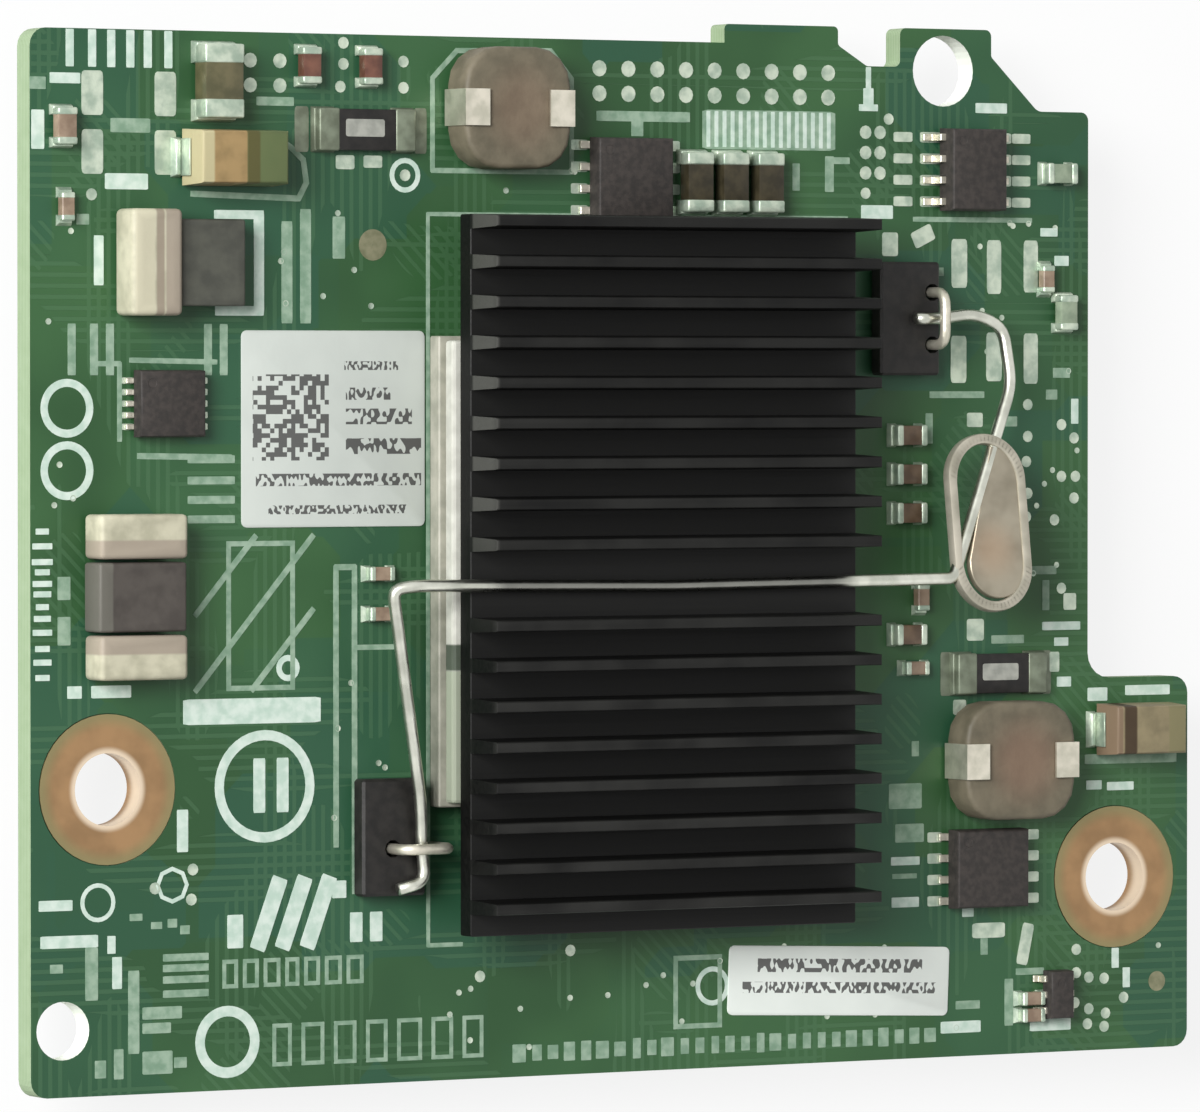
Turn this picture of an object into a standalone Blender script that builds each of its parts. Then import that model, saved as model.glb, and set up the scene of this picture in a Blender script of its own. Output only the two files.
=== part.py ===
"""Ethernet adapter card: a small server mezzanine board under a clipped heatsink.

The board lies flat, its component side up (+Z). +X runs along its long side and +Y
towards the edge with the plug underneath. The origin is under the middle of the card,
at the level of the plug's mating face. All sizes are in metres.
"""
import math

import bpy
import bmesh
from mathutils import Euler, Vector

for leftover in list(bpy.data.objects):
    bpy.data.objects.remove(leftover, do_unlink=True)

# Clearances
fit_gap = 0.20e-3            # between two pieces that rest on each other
film_gap = 0.05e-3           # between a plated or bonded layer and its carrier

# Board. Its main width and height follow from the heatsink and the zones round it.
board_thickness = 1.57e-3
left_zone = 25.9e-3          # left edge to heatsink
right_zone = 18.9e-3         # heatsink to the right edge of the upper part
bottom_zone = 8.5e-3         # bottom edge to heatsink
top_zone = 10.25e-3          # heatsink to the main top edge
tab_reach = 7.2e-3           # how far the lower right tab sticks out
tab_height = 22.4e-3
board_corner = 1.0e-3
tab_fillet = 1.5e-3
crest_rise = 1.1e-3          # raised parts of the top edge above the main edge
crest_length = 7.8e-3
crest_from_right = 17.6e-3
notch_width = 4.3e-3         # between the crest and the ear
notch_depth = 1.2e-3
notch_slope = 2.0e-3
ear_from_right = 6.9e-3
ear_hole_radius = 2.1e-3
ear_hole_drop = 2.5e-3       # below the top of the ear
ear_hole_offset = 3.0e-3     # from the ear's left side
shoulder_drop = 3.7e-3
shoulder_length = 3.6e-3
corner_hole_radius = 1.65e-3
corner_hole_inset = 2.0e-3
corner_hole_up = 3.75e-3

# Plated rings of the two mounting holes
ring_radius = 4.25e-3
ring_bore = 2.05e-3
ring_wall = 0.15e-3
ring_thickness = 0.12e-3
ring_proud = 0.04e-3
left_ring_in = 4.8e-3
left_ring_up = 17.25e-3
right_ring_in = 5.3e-3
right_ring_up = 10.4e-3

# Plug on the underside
plug_length = 17.0e-3
plug_width = 5.0e-3
plug_height = 4.3e-3
plug_wall = 0.8e-3
plug_roof = 1.1e-3
plug_from_crest_end = 0.7e-3
plug_from_top = 1.0e-3
tongue_thickness = 1.0e-3
tongue_inset = 0.6e-3        # tongue tip above the mating face
contact_pitch = 0.8e-3
contact_width = 0.35e-3
contact_proud = 0.15e-3

# Controller chip, pad and heatsink
ball_height = 0.40e-3
chip_size = 27.0e-3
chip_up_shift = 0.7e-3       # chip centre above the heatsink's wire channel
substrate_thickness = 1.1e-3
lid_inset = 0.25e-3
lid_thickness = 1.0e-3
pad_thickness = 0.15e-3
pad_inset = 1.4e-3           # pad inside the heatsink's sides
heatsink_inset = 0.6e-3      # heatsink inside the chip's sides
heatsink_base = 1.2e-3
fin_height = 3.0e-3
fin_pitch = 2.303e-3
fin_thickness = 0.85e-3
fin_tip = 0.62e-3
fins_above = 9
fins_below = 8
bottom_ledge = 1.25e-3

# Wire spring clip and its two anchors
wire_radius = 0.36e-3
clip_left_reach = 5.1e-3     # heatsink side to the left bend
clip_right_reach = 6.4e-3
anchor_height = 1.2e-3
anchor_size = (4.1e-3, 6.7e-3)
staple_radius = 0.32e-3
staple_half_span = 1.55e-3
left_anchor_in = 2.0e-3      # wire under the staple, beside the heatsink
left_anchor_below_chip = 2.3e-3
left_block_shift = (-1.45e-3, 0.65e-3)
right_anchor_out = 7.0e-3
right_anchor_up = 15.3e-3
right_block_shift = (-1.5e-3, 0.0)
arm_out = 4.6e-3             # right arm past its anchor
hook_out = 4.4e-3
arm_back = 3.9e-3
grip_length = 10.6e-3
grip_width = 5.4e-3
grip_thickness = 1.5e-3
grip_rim = 0.55e-3
grip_dish = 0.45e-3
grip_at_arm = 0.27           # place along the right arm
grip_side_shift = 1.3e-3     # grip's middle beside the wire

# Inductors
inductor_height = 2.5e-3
inductor_width = 7.0e-3
inductor_top_length = 7.2e-3
inductor_bottom_length = 7.9e-3
inductor_chamfer = 2.2e-3
clip_foot = 1.6e-3
clip_width = 2.1e-3
clip_metal = 0.15e-3
inductor_rim = 0.3e-3

# Packages: body length (X), width (Y) and height
power_body = (5.1e-3, 4.7e-3, 1.05e-3)
flash_body = (3.9e-3, 4.9e-3, 1.45e-3)
logic_body = (4.2e-3, 3.8e-3, 0.85e-3)
small_logic_body = (1.7e-3, 2.9e-3, 0.95e-3)
package_lift = 0.10e-3       # body above the feet of its leads
lead_thickness = 0.18e-3
lead_pitch = 1.27e-3
fine_pitch = 0.65e-3
narrow_pitch = 0.95e-3

# Two-terminal parts: length, width, height, length of each end cap
shunt_size = (6.3e-3, 2.45e-3, 0.60e-3, 1.35e-3)
tantalum_size = (5.5e-3, 3.1e-3, 2.2e-3, 0.60e-3)
large_tantalum_size = (6.0e-3, 3.2e-3, 2.4e-3, 0.65e-3)
ceramic_size = (3.5e-3, 1.8e-3, 1.1e-3, 0.75e-3)
large_ceramic_size = (4.2e-3, 2.5e-3, 1.5e-3, 1.1e-3)
chip_cap_size = (2.1e-3, 1.25e-3, 0.85e-3, 0.45e-3)
cap_step = 0.05e-3           # end caps stand this proud of the body
filter_body_size = (5.5e-3, 3.9e-3, 2.0e-3)
filter_cap_size = (5.5e-3, 2.5e-3, 2.2e-3)
choke_body_size = (4.1e-3, 4.9e-3, 1.6e-3)
choke_cap_size = (3.2e-3, 6.0e-3, 2.3e-3)

# Places. "in" is from the nearer side edge, "down" from the main top edge, "up" from
# the bottom edge, and a gap is the free space between two neighbours.
inductor_top_in = 0.5e-3     # heatsink's left side to the inductor's
inductor_top_down = 4.1e-3
power_top_gap = 1.8e-3       # inductor to the power chip's leads
power_top_down = 8.0e-3
ceramic_top_gap = 0.4e-3     # power chip's leads to the first capacitor
ceramic_top_spacing = 0.6e-3
ceramic_top_down = 8.2e-3
power_bottom_in = 7.5e-3
power_bottom_up = 11.2e-3
inductor_bottom_in = 6.3e-3
inductor_bottom_gap = 0.6e-3  # power chip to the inductor above it
shunt_bottom_in = 6.5e-3
shunt_bottom_gap = 0.425e-3   # inductor to the shunt above it
shunt_top_in = 4.8e-3        # shunt's centre to the heatsink's left side
shunt_top_down = 5.45e-3
flash_in = 8.75e-3
flash_down = 7.25e-3
logic_left_in = 8.45e-3
logic_left_down = 21.05e-3
logic_bottom_in = 2.5e-3
logic_bottom_up = 3.5e-3
tantalum_left_in = 12.3e-3
tantalum_left_down = 7.15e-3
tantalum_right_in = 4.1e-3
tantalum_right_up = 19.3e-3
ceramic_left_in = 11.45e-3
ceramic_left_down = 2.85e-3
cap_row_in = 17.4e-3
cap_row_down = 1.85e-3
cap_row_spacing = 2.7e-3
cap_left_in = 1.9e-3
cap_left_down = 5.5e-3
cap_side_out = 5.9e-3        # heatsink's right side to the column of capacitors
cap_side_rises = (-3.4e-3, 3.8e-3, 6.1e-3, 8.4e-3)   # above the wire channel
cap_corner_in = 2.4e-3
cap_corner_down = 7.4e-3
cap_edge_in = 1.95e-3
cap_edge_down = 15.7e-3
filter_in = 6.0e-3
filter_below_channel = 0.5e-3
choke_in = 6.8e-3
choke_down = 13.1e-3
power_lead = (0.45e-3, 0.55e-3)      # width of a lead and how far it reaches out
flash_lead = (0.42e-3, 1.05e-3)
logic_lead = (0.30e-3, 0.40e-3)
small_logic_lead = (0.40e-3, 0.60e-3)

# Everything below follows from the sizes above
heatsink_width = chip_size - 2 * heatsink_inset
heatsink_length = bottom_ledge + fin_thickness + (fins_above + fins_below) * fin_pitch
main_width = left_zone + heatsink_width + right_zone
board_width = main_width + tab_reach
main_height = bottom_zone + heatsink_length + top_zone
board_height = main_height + crest_rise

board_under = plug_height + fit_gap
board_top = board_under + board_thickness
seat = board_top + fit_gap

heatsink_left = left_zone
heatsink_right = left_zone + heatsink_width
channel_v = bottom_zone + bottom_ledge + fin_thickness / 2 + fins_below * fin_pitch
chip_u = left_zone + heatsink_width / 2
chip_v = channel_v + chip_up_shift

substrate_z = board_top + ball_height
lid_z = substrate_z + substrate_thickness + fit_gap
pad_z = lid_z + lid_thickness + film_gap
heatsink_z = pad_z + pad_thickness + film_gap
channel_z = heatsink_z + heatsink_base
wire_z = channel_z + fit_gap + wire_radius

crest_end = main_width - crest_from_right
crest_start = crest_end - crest_length
ear_start = crest_end + notch_width
ear_end = main_width - ear_from_right

FINISH = {
    "board": ((0.03, 0.19, 0.08), 0.42, 0.0),
    "copper": ((0.62, 0.42, 0.25), 0.40, 0.7),
    "tin": ((0.74, 0.74, 0.68), 0.30, 0.9),
    "steel_wire": ((0.70, 0.72, 0.66), 0.28, 1.0),
    "black_anodised": ((0.018, 0.018, 0.020), 0.48, 0.3),
    "black_plastic": ((0.020, 0.020, 0.020), 0.55, 0.0),
    "chip_black": ((0.045, 0.042, 0.040), 0.60, 0.0),
    "lid_grey": ((0.42, 0.41, 0.36), 0.45, 0.5),
    "substrate": ((0.10, 0.16, 0.08), 0.55, 0.0),
    "pad_grey": ((0.40, 0.40, 0.42), 0.85, 0.0),
    "ferrite": ((0.17, 0.12, 0.09), 0.75, 0.0),
    "tan": ((0.50, 0.42, 0.31), 0.60, 0.0),
    "amber": ((0.55, 0.36, 0.16), 0.50, 0.0),
    "ceramic": ((0.27, 0.19, 0.12), 0.45, 0.0),
    "ceramic_red": ((0.23, 0.08, 0.05), 0.45, 0.0),
    "beige": ((0.60, 0.53, 0.42), 0.55, 0.0),
    "grey_body": ((0.13, 0.13, 0.12), 0.60, 0.0),
    "plug_black": ((0.03, 0.03, 0.032), 0.50, 0.0),
}


def paint(obj, finish):
    """Give the object a Principled material of its own."""
    colour, roughness, metallic = FINISH[finish]
    material = bpy.data.materials.new(obj.name)
    material.use_nodes = True
    shader = material.node_tree.nodes["Principled BSDF"]
    shader.inputs["Base Color"].default_value = (*colour, 1.0)
    shader.inputs["Roughness"].default_value = roughness
    shader.inputs["Metallic"].default_value = metallic
    obj.data.materials.clear()
    obj.data.materials.append(material)


def place(obj, u, v, z):
    """Set the object down at u, v from the board's lower left corner."""
    obj.location = (u - board_width / 2, v - board_height / 2, z)
    return obj


def solid(name, bm, finish, smooth=False):
    """Turn a bmesh into a linked object with outward faces."""
    bmesh.ops.remove_doubles(bm, verts=bm.verts, dist=1e-7)
    bmesh.ops.recalc_face_normals(bm, faces=bm.faces)
    mesh = bpy.data.meshes.new(name)
    bm.to_mesh(mesh)
    bm.free()
    if smooth:
        mesh.shade_smooth()
        mesh.set_sharp_from_angle(angle=math.radians(35))
    obj = bpy.data.objects.new(name, mesh)
    bpy.context.collection.objects.link(obj)
    paint(obj, finish)
    return obj


def extruded(name, outline, depth, finish, axis="Z"):
    """Extrude a flat outline. Axis Z lifts an XY outline, X sweeps a YZ outline."""
    bm = bmesh.new()
    if axis == "Z":
        points = [(a, b, 0.0) for a, b in outline]
        step = Vector((0, 0, depth))
    elif axis == "X":
        points = [(-depth / 2, a, b) for a, b in outline]
        step = Vector((depth, 0, 0))
    else:
        points = [(a, -depth / 2, b) for a, b in outline]
        step = Vector((0, depth, 0))
    face = bm.faces.new([bm.verts.new(p) for p in points])
    top = bmesh.ops.extrude_face_region(bm, geom=[face])["geom"]
    bmesh.ops.translate(bm, verts=[g for g in top if isinstance(g, bmesh.types.BMVert)], vec=step)
    return solid(name, bm, finish)


def box(name, size, finish, bevel=0.0, segments=1):
    """A block standing on z = 0, centred in X and Y, with all edges bevelled."""
    bm = bmesh.new()
    bmesh.ops.create_cube(bm, size=1.0)
    bmesh.ops.scale(bm, vec=size, verts=bm.verts)
    bmesh.ops.translate(bm, vec=(0, 0, size[2] / 2), verts=bm.verts)
    if bevel:
        bmesh.ops.bevel(bm, geom=bm.edges[:], offset=bevel, segments=segments,
                        profile=0.5, affect="EDGES", clamp_overlap=True)
    return solid(name, bm, finish)


def turned(name, profile, finish, sides=48):
    """Spin a closed radius-height profile about Z."""
    bm = bmesh.new()
    verts = [bm.verts.new((r, 0, z)) for r, z in profile]
    edges = [bm.edges.new((a, b)) for a, b in zip(verts, verts[1:] + verts[:1])
             if a.co.x > 0 or b.co.x > 0]
    bmesh.ops.spin(bm, geom=verts + edges, cent=(0, 0, 0), axis=(0, 0, 1),
                   angle=2 * math.pi, steps=sides, use_merge=True)
    return solid(name, bm, finish, smooth=True)


def rounded(corners, steps=5):
    """Outline with each corner (x, y, radius) turned into an arc."""
    outline = []
    count = len(corners)
    for i, (x, y, radius) in enumerate(corners):
        here = Vector((x, y))
        before = Vector(corners[i - 1][:2]) - here
        after = Vector(corners[(i + 1) % count][:2]) - here
        if radius <= 0:
            outline.append((x, y))
            continue
        half = before.angle(after) / 2
        reach = radius / math.tan(half)
        centre = here + (before.normalized() + after.normalized()).normalized() * radius / math.sin(half)
        start = here + before.normalized() * reach - centre
        end = here + after.normalized() * reach - centre
        turn = start.angle_signed(end)
        for k in range(steps + 1):
            angle = -turn * k / steps
            outline.append((centre.x + start.x * math.cos(angle) - start.y * math.sin(angle),
                            centre.y + start.x * math.sin(angle) + start.y * math.cos(angle)))
    return outline


def bent(points, radius, steps=5):
    """Route through 3-D points, each inner corner eased by a short curve."""
    points = [Vector(p) for p in points]
    route = [points[0]]
    for before, here, after in zip(points, points[1:], points[2:]):
        reach = min(radius, (before - here).length * 0.45, (after - here).length * 0.45)
        start = here + (before - here).normalized() * reach
        end = here + (after - here).normalized() * reach
        for k in range(steps + 1):
            t = k / steps
            route.append(start * (1 - t) ** 2 + here * 2 * t * (1 - t) + end * t ** 2)
    route.append(points[-1])
    return route


def wire(name, points, radius, finish, resolution=3):
    """A round wire along a route, as a curve made into a mesh."""
    curve = bpy.data.curves.new(name, "CURVE")
    curve.dimensions = "3D"
    curve.bevel_depth = radius
    curve.bevel_resolution = resolution
    curve.use_fill_caps = True
    spline = curve.splines.new("POLY")
    spline.points.add(len(points) - 1)
    for target, point in zip(spline.points, points):
        target.co = (*point, 1.0)
    guide = bpy.data.objects.new(name + "_route", curve)
    bpy.context.collection.objects.link(guide)
    evaluated = guide.evaluated_get(bpy.context.evaluated_depsgraph_get())
    bm = bmesh.new()
    bm.from_mesh(evaluated.to_mesh())
    evaluated.to_mesh_clear()
    bpy.data.objects.remove(guide, do_unlink=True)
    return solid(name, bm, finish, smooth=True)


def combine(obj, other, operation):
    """Boolean with an object that is then only a hidden tool."""
    other.name = obj.name + "_" + operation.lower() + "_tool"
    other.hide_render = True
    other.display_type = "WIRE"
    modifier = obj.modifiers.new(operation.title(), "BOOLEAN")
    modifier.operation = operation
    modifier.solver = "EXACT"
    modifier.object = other
    return obj


def merged(name, objects):
    """Join several objects' meshes into one object, keeping their places."""
    bm = bmesh.new()
    for obj in objects:
        mesh = obj.data.copy()
        mesh.transform(obj.matrix_basis)
        bm.from_mesh(mesh)
        bpy.data.objects.remove(obj, do_unlink=True)
    mesh = bpy.data.meshes.new(name)
    bm.to_mesh(mesh)
    bm.free()
    joined = bpy.data.objects.new(name, mesh)
    bpy.context.collection.objects.link(joined)
    return joined


# Circuit board: rounded outline, the ring seats, the ear hole and the corner hole
def circuit_board():
    top = main_height
    crown = board_height
    notch = top - notch_depth
    outline = rounded([
        (0, 0, board_corner), (board_width, 0, board_corner),
        (board_width, tab_height, board_corner), (main_width, tab_height, tab_fillet),
        (main_width, top - shoulder_drop, 0.5e-3),
        (main_width - shoulder_length, top - shoulder_drop, 0.8e-3),
        (ear_end, top - 0.5e-3, 0.3e-3), (ear_end, crown, 0.4e-3),
        (ear_start, crown, 0.4e-3), (ear_start, notch, 0.4e-3),
        (crest_end + notch_slope, notch, 0.5e-3), (crest_end, top, 0.3e-3),
        (crest_end, crown, 0.3e-3), (crest_start, crown, 0.3e-3),
        (crest_start, top, 0.0), (0, top, board_corner),
    ])
    board = place(extruded("circuit_board", outline, board_thickness, "board"), 0, 0, board_under)
    seat_radius = ring_radius + film_gap
    barrel = ring_bore + ring_wall + film_gap
    sunk = ring_thickness - ring_proud + film_gap
    over = board_thickness
    seat_profile = [(0, -over), (seat_radius, -over), (seat_radius, sunk), (barrel, sunk),
                    (barrel, board_thickness - sunk), (seat_radius, board_thickness - sunk),
                    (seat_radius, board_thickness + over), (0, board_thickness + over)]
    tools = []
    for u, v in ring_places:
        tools.append(place(turned("seat", seat_profile, "board"), u, v, board_under))
    for radius, u, v in ((ear_hole_radius, ear_start + ear_hole_offset, crown - ear_hole_drop),
                         (corner_hole_radius, corner_hole_inset, corner_hole_up)):
        drill = [(0, -over), (radius, -over), (radius, board_thickness + over),
                 (0, board_thickness + over)]
        tools.append(place(turned("drill", drill, "board", sides=32), u, v, board_under))
    for tool in tools:
        tool.name = "drill"
    cutter = merged("drills", tools)
    cutter.data.transform(board.matrix_basis.inverted())
    cutter.location = board.location
    return combine(board, cutter, "DIFFERENCE")


ring_places = ((left_ring_in, left_ring_up), (board_width - right_ring_in, right_ring_up))
circuit_board()

# Plated rings: a spool each, its flanges sunk into the board's faces
ring_low = board_under - ring_proud
ring_high = board_top + ring_proud - ring_low
ring_outer = ring_bore + ring_wall
ring_profile = [(ring_bore, 0), (ring_radius, 0), (ring_radius, ring_thickness),
                (ring_outer, ring_thickness), (ring_outer, ring_high - ring_thickness),
                (ring_radius, ring_high - ring_thickness), (ring_radius, ring_high),
                (ring_bore, ring_high)]
for name, (u, v) in zip(("hole_ring_left", "hole_ring_right"), ring_places):
    place(turned(name, ring_profile, "copper"), u, v, ring_low)


# Plug: an open shell with a tongue whose flanks carry the contact ribs
def plug():
    shell = box("plug", (plug_length, plug_width, plug_height), "plug_black", 0.2e-3)
    pocket = box("pocket", (plug_length - 2 * plug_wall, plug_width - 2 * plug_wall,
                            plug_height), "plug_black")
    pocket.location.z = -plug_roof
    tongue_length = plug_length - 4 * plug_wall
    half = tongue_thickness / 2
    count = int((tongue_length - contact_pitch) / contact_pitch)
    side = []
    for k in range(count):
        middle = (k - (count - 1) / 2) * contact_pitch
        side += [(middle - contact_width / 2, half), (middle - contact_width / 2, half + contact_proud),
                 (middle + contact_width / 2, half + contact_proud), (middle + contact_width / 2, half)]
    upper = [(-tongue_length / 2, half)] + side + [(tongue_length / 2, half)]
    outline = upper[::-1] + [(x, -y) for x, y in upper]
    tongue = extruded("tongue", outline, plug_height - tongue_inset - plug_roof / 2, "plug_black")
    tongue.location.z = tongue_inset
    u = crest_end - plug_from_crest_end - plug_length / 2
    v = main_height - plug_from_top - plug_width / 2
    for obj, z in ((shell, 0), (pocket, -plug_roof), (tongue, tongue_inset)):
        place(obj, u, v, z)
    combine(shell, pocket, "DIFFERENCE")
    return combine(shell, tongue, "UNION")


plug()

# Controller: substrate on its solder balls, metal lid, thermal pad
place(box("chip_substrate", (chip_size, chip_size, substrate_thickness), "substrate", 0.08e-3),
      chip_u, chip_v, substrate_z)
lid_size = chip_size - 2 * lid_inset
place(box("chip_lid", (lid_size, lid_size, lid_thickness), "lid_grey", 0.2e-3, 2),
      chip_u, chip_v, lid_z)
pad_size = heatsink_width - 2 * pad_inset
place(box("thermal_pad", (pad_size, pad_size, pad_thickness), "pad_grey"), chip_u, chip_v, pad_z)


# Heatsink: one comb-shaped profile, the fin over the wire left out
def heatsink():
    half = fin_thickness / 2
    tip = fin_tip / 2
    floor = heatsink_base
    crown = heatsink_base + fin_height
    comb = [(0, 0), (0, floor)]
    for k in range(-fins_below, fins_above + 1):
        if k == 0:
            continue
        middle = bottom_ledge + half + (k + fins_below) * fin_pitch
        last = k == fins_above
        comb += [(middle - half, floor), (middle - tip, crown)]
        comb += [(middle + tip, crown), (middle + half, floor)] if not last else []
    comb += [(heatsink_length - half + tip, crown), (heatsink_length, floor), (heatsink_length, 0)]
    body = extruded("heatsink", comb, heatsink_width, "black_anodised", axis="X")
    return place(body, chip_u, bottom_zone, heatsink_z)


heatsink()

# Spring clip: one wire through the channel, both arms bent down to the anchors
left_anchor = (heatsink_left - left_anchor_in,
               chip_v - chip_size / 2 - left_anchor_below_chip)
right_anchor = (heatsink_right + right_anchor_out, channel_v + right_anchor_up)
left_bend = heatsink_left - clip_left_reach
right_bend = heatsink_right + clip_right_reach
low_z = seat + anchor_height + fit_gap + wire_radius
arm_start = Vector((right_bend, channel_v, wire_z))
arm_end = Vector((right_anchor[0] + arm_out, right_anchor[1] - arm_back, low_z + 0.9e-3))
clip_route = bent([
    (left_anchor[0] - 1.5e-3, left_anchor[1] - 2.3e-3, low_z),
    (left_anchor[0] + 0.25e-3, left_anchor[1] - 1.9e-3, low_z),
    (left_anchor[0], left_anchor[1], low_z),
    (left_anchor[0] - 0.2e-3, left_anchor[1] + 2.6e-3, low_z + 0.3e-3),
    (left_bend, channel_v - 0.2e-3, wire_z - 0.5e-3),
    (left_bend + 1.3e-3, channel_v, wire_z),
    (chip_u, channel_v - 0.2e-3, wire_z),
    (right_bend - 1.0e-3, channel_v, wire_z),
    arm_start,
    arm_end,
    (right_anchor[0] + hook_out, right_anchor[1] - 0.5e-3, low_z + 0.3e-3),
    (right_anchor[0] + 2.6e-3, right_anchor[1] + 0.3e-3, low_z),
    (right_anchor[0], right_anchor[1], low_z),
    (right_anchor[0] - 1.5e-3, right_anchor[1], low_z),
], 1.0e-3)
place(wire("spring_clip", clip_route, wire_radius, "steel_wire"), 0, 0, 0)


# Finger grip: a dished oval moulded round the clip's right arm
def finger_grip():
    bm = bmesh.new()
    count = 40
    ring = []
    straight = (grip_length - grip_width) / 2
    for k in range(count):
        angle = 2 * math.pi * (k + 0.5) / count
        shift = straight if math.sin(angle) > 0 else -straight
        ring.append(bm.verts.new((grip_width / 2 * math.cos(angle),
                                  grip_width / 2 * math.sin(angle) + shift, 0)))
    base = bm.faces.new(ring)
    grown = bmesh.ops.extrude_face_region(bm, geom=[base])["geom"]
    bmesh.ops.translate(bm, verts=[g for g in grown if isinstance(g, bmesh.types.BMVert)],
                        vec=(0, 0, grip_thickness))
    lid = [g for g in grown if isinstance(g, bmesh.types.BMFace)]
    bmesh.ops.inset_region(bm, faces=lid, thickness=grip_rim, use_even_offset=True)
    bmesh.ops.translate(bm, verts=lid[0].verts[:], vec=(0, 0, -grip_dish))
    grip = solid("clip_finger_grip", bm, "tan", smooth=True)
    arm = arm_end - arm_start
    middle = arm_start + arm * grip_at_arm
    place(grip, middle.x + grip_side_shift, middle.y, middle.z - grip_thickness * 0.55)
    grip.rotation_euler = Euler((math.asin(arm.z / arm.length), 0, 0))
    channel = wire("channel", clip_route, wire_radius + fit_gap, "tan")
    place(channel, 0, 0, 0)
    return combine(grip, channel, "DIFFERENCE")


finger_grip()


# Anchors: a moulded foot and a wire staple that arches over the clip
def anchor(side, at, across, block_shift):
    crown = low_z + wire_radius + fit_gap + staple_radius
    span = Vector((staple_half_span, 0, 0)) if across == "X" else Vector((0, staple_half_span, 0))
    centre = Vector((at[0], at[1], 0))
    route = bent([centre - span + Vector((0, 0, seat)), centre - span + Vector((0, 0, crown)),
                  centre + span + Vector((0, 0, crown)), centre + span + Vector((0, 0, seat))],
                 0.9e-3)
    place(wire("anchor_staple_" + side, route, staple_radius, "tin"), 0, 0, 0)
    hole = place(wire("hole", route, staple_radius + fit_gap, "tin"), 0, 0, 0)
    block = box("anchor_foot_" + side, (*anchor_size, anchor_height), "black_plastic", 0.15e-3)
    place(block, at[0] + block_shift[0], at[1] + block_shift[1], seat)
    hole.location.z -= fit_gap
    return combine(block, hole, "DIFFERENCE")


anchor("left", left_anchor, "X", left_block_shift)
anchor("right", right_anchor, "Y", right_block_shift)


# Inductors: an eight-sided core with a sheet-metal clip round each end
def inductor(side, length, u, v):
    half_l, half_w, cut = length / 2, inductor_width / 2, inductor_chamfer
    outline = [(-half_l + cut, -half_w), (half_l - cut, -half_w), (half_l, -half_w + cut),
               (half_l, half_w - cut), (half_l - cut, half_w), (-half_l + cut, half_w),
               (-half_l, half_w - cut), (-half_l, -half_w + cut)]
    lift = clip_metal + film_gap
    core = extruded("inductor_" + side + "_core", outline, inductor_height - lift, "ferrite")
    rim = core.modifiers.new("Rim", "BEVEL")
    rim.width = inductor_rim
    rim.segments = 2
    rim.limit_method = "ANGLE"
    rim.angle_limit = math.radians(60)
    place(core, u, v, seat + lift)
    pockets = []
    for end, label in ((-1, "left"), (1, "right")):
        outer = end * half_l
        inner = end * (half_l - clip_metal)
        foot = end * (half_l - clip_foot)
        high = inductor_height
        profile = [(foot, 0), (outer, 0), (outer, high), (foot, high),
                   (foot, high - clip_metal), (inner, high - clip_metal),
                   (inner, clip_metal), (foot, clip_metal)]
        clip = extruded("inductor_" + side + "_clip_" + label, profile, clip_width, "tin", axis="Y")
        place(clip, u, v, seat)
        reach = end * film_gap
        top = high - clip_metal - film_gap
        space = [(foot - reach, top), (inner - reach, top), (inner - reach, -lift),
                 (outer + 10 * reach, -lift), (outer + 10 * reach, high + lift), (foot - reach, high + lift)]
        pocket = extruded("pocket", space, clip_width + 2 * film_gap, "tin", axis="Y")
        pockets.append(place(pocket, u, v, seat))
    tool = merged("pockets", pockets)
    return combine(core, tool, "DIFFERENCE")


inductor_top_u = heatsink_left + inductor_top_in + inductor_top_length / 2
inductor_bottom_v = power_bottom_up + power_body[1] / 2 + inductor_bottom_gap + inductor_width / 2
inductor("top", inductor_top_length, inductor_top_u, main_height - inductor_top_down)
inductor("bottom", inductor_bottom_length, main_width - inductor_bottom_in, inductor_bottom_v)


# Packages: a moulded body united with its formed leads
def package(name, body, pitch, count, lead, u, v, gull=True, finish="chip_black"):
    length, width, height = body
    lead_width, reach = lead
    obj = box(name, body, finish, 0.12e-3)
    place(obj, u, v, seat + package_lift)
    mid = package_lift + height * 0.45 if gull else lead_thickness
    thick = lead_thickness
    leads = []
    for end in (-1, 1):
        inside = length / 2 - 0.25e-3
        knee = length / 2 + reach * 0.35
        toe = length / 2 + reach
        if gull:
            shape = [(inside, mid), (inside, mid + thick), (knee + thick / 2, mid + thick),
                     (knee + thick, thick), (toe, thick), (toe, 0), (knee, 0), (knee - thick / 2, mid)]
        else:
            shape = [(inside, 0), (inside, thick + package_lift), (toe, thick + package_lift), (toe, 0)]
        for k in range(count):
            lead = extruded("lead", [(end * x, z) for x, z in shape], lead_width, finish, axis="Y")
            leads.append(place(lead, u, v + (k - (count - 1) / 2) * pitch, seat))
    return combine(obj, merged("leads", leads), "UNION")


power_top_u = (inductor_top_u + inductor_top_length / 2 + power_top_gap
               + power_lead[1] + power_body[0] / 2)
package("power_chip_top", power_body, lead_pitch, 4, power_lead,
        power_top_u, main_height - power_top_down, gull=False)
package("power_chip_bottom", power_body, lead_pitch, 4, power_lead,
        main_width - power_bottom_in, power_bottom_up, gull=False)
package("flash_chip", flash_body, lead_pitch, 4, flash_lead,
        main_width - flash_in, main_height - flash_down)
package("logic_chip_left", logic_body, fine_pitch, 5, logic_lead,
        logic_left_in, main_height - logic_left_down, gull=False)
package("logic_chip_bottom", small_logic_body, narrow_pitch, 3, small_logic_lead,
        main_width - logic_bottom_in, logic_bottom_up)


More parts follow.
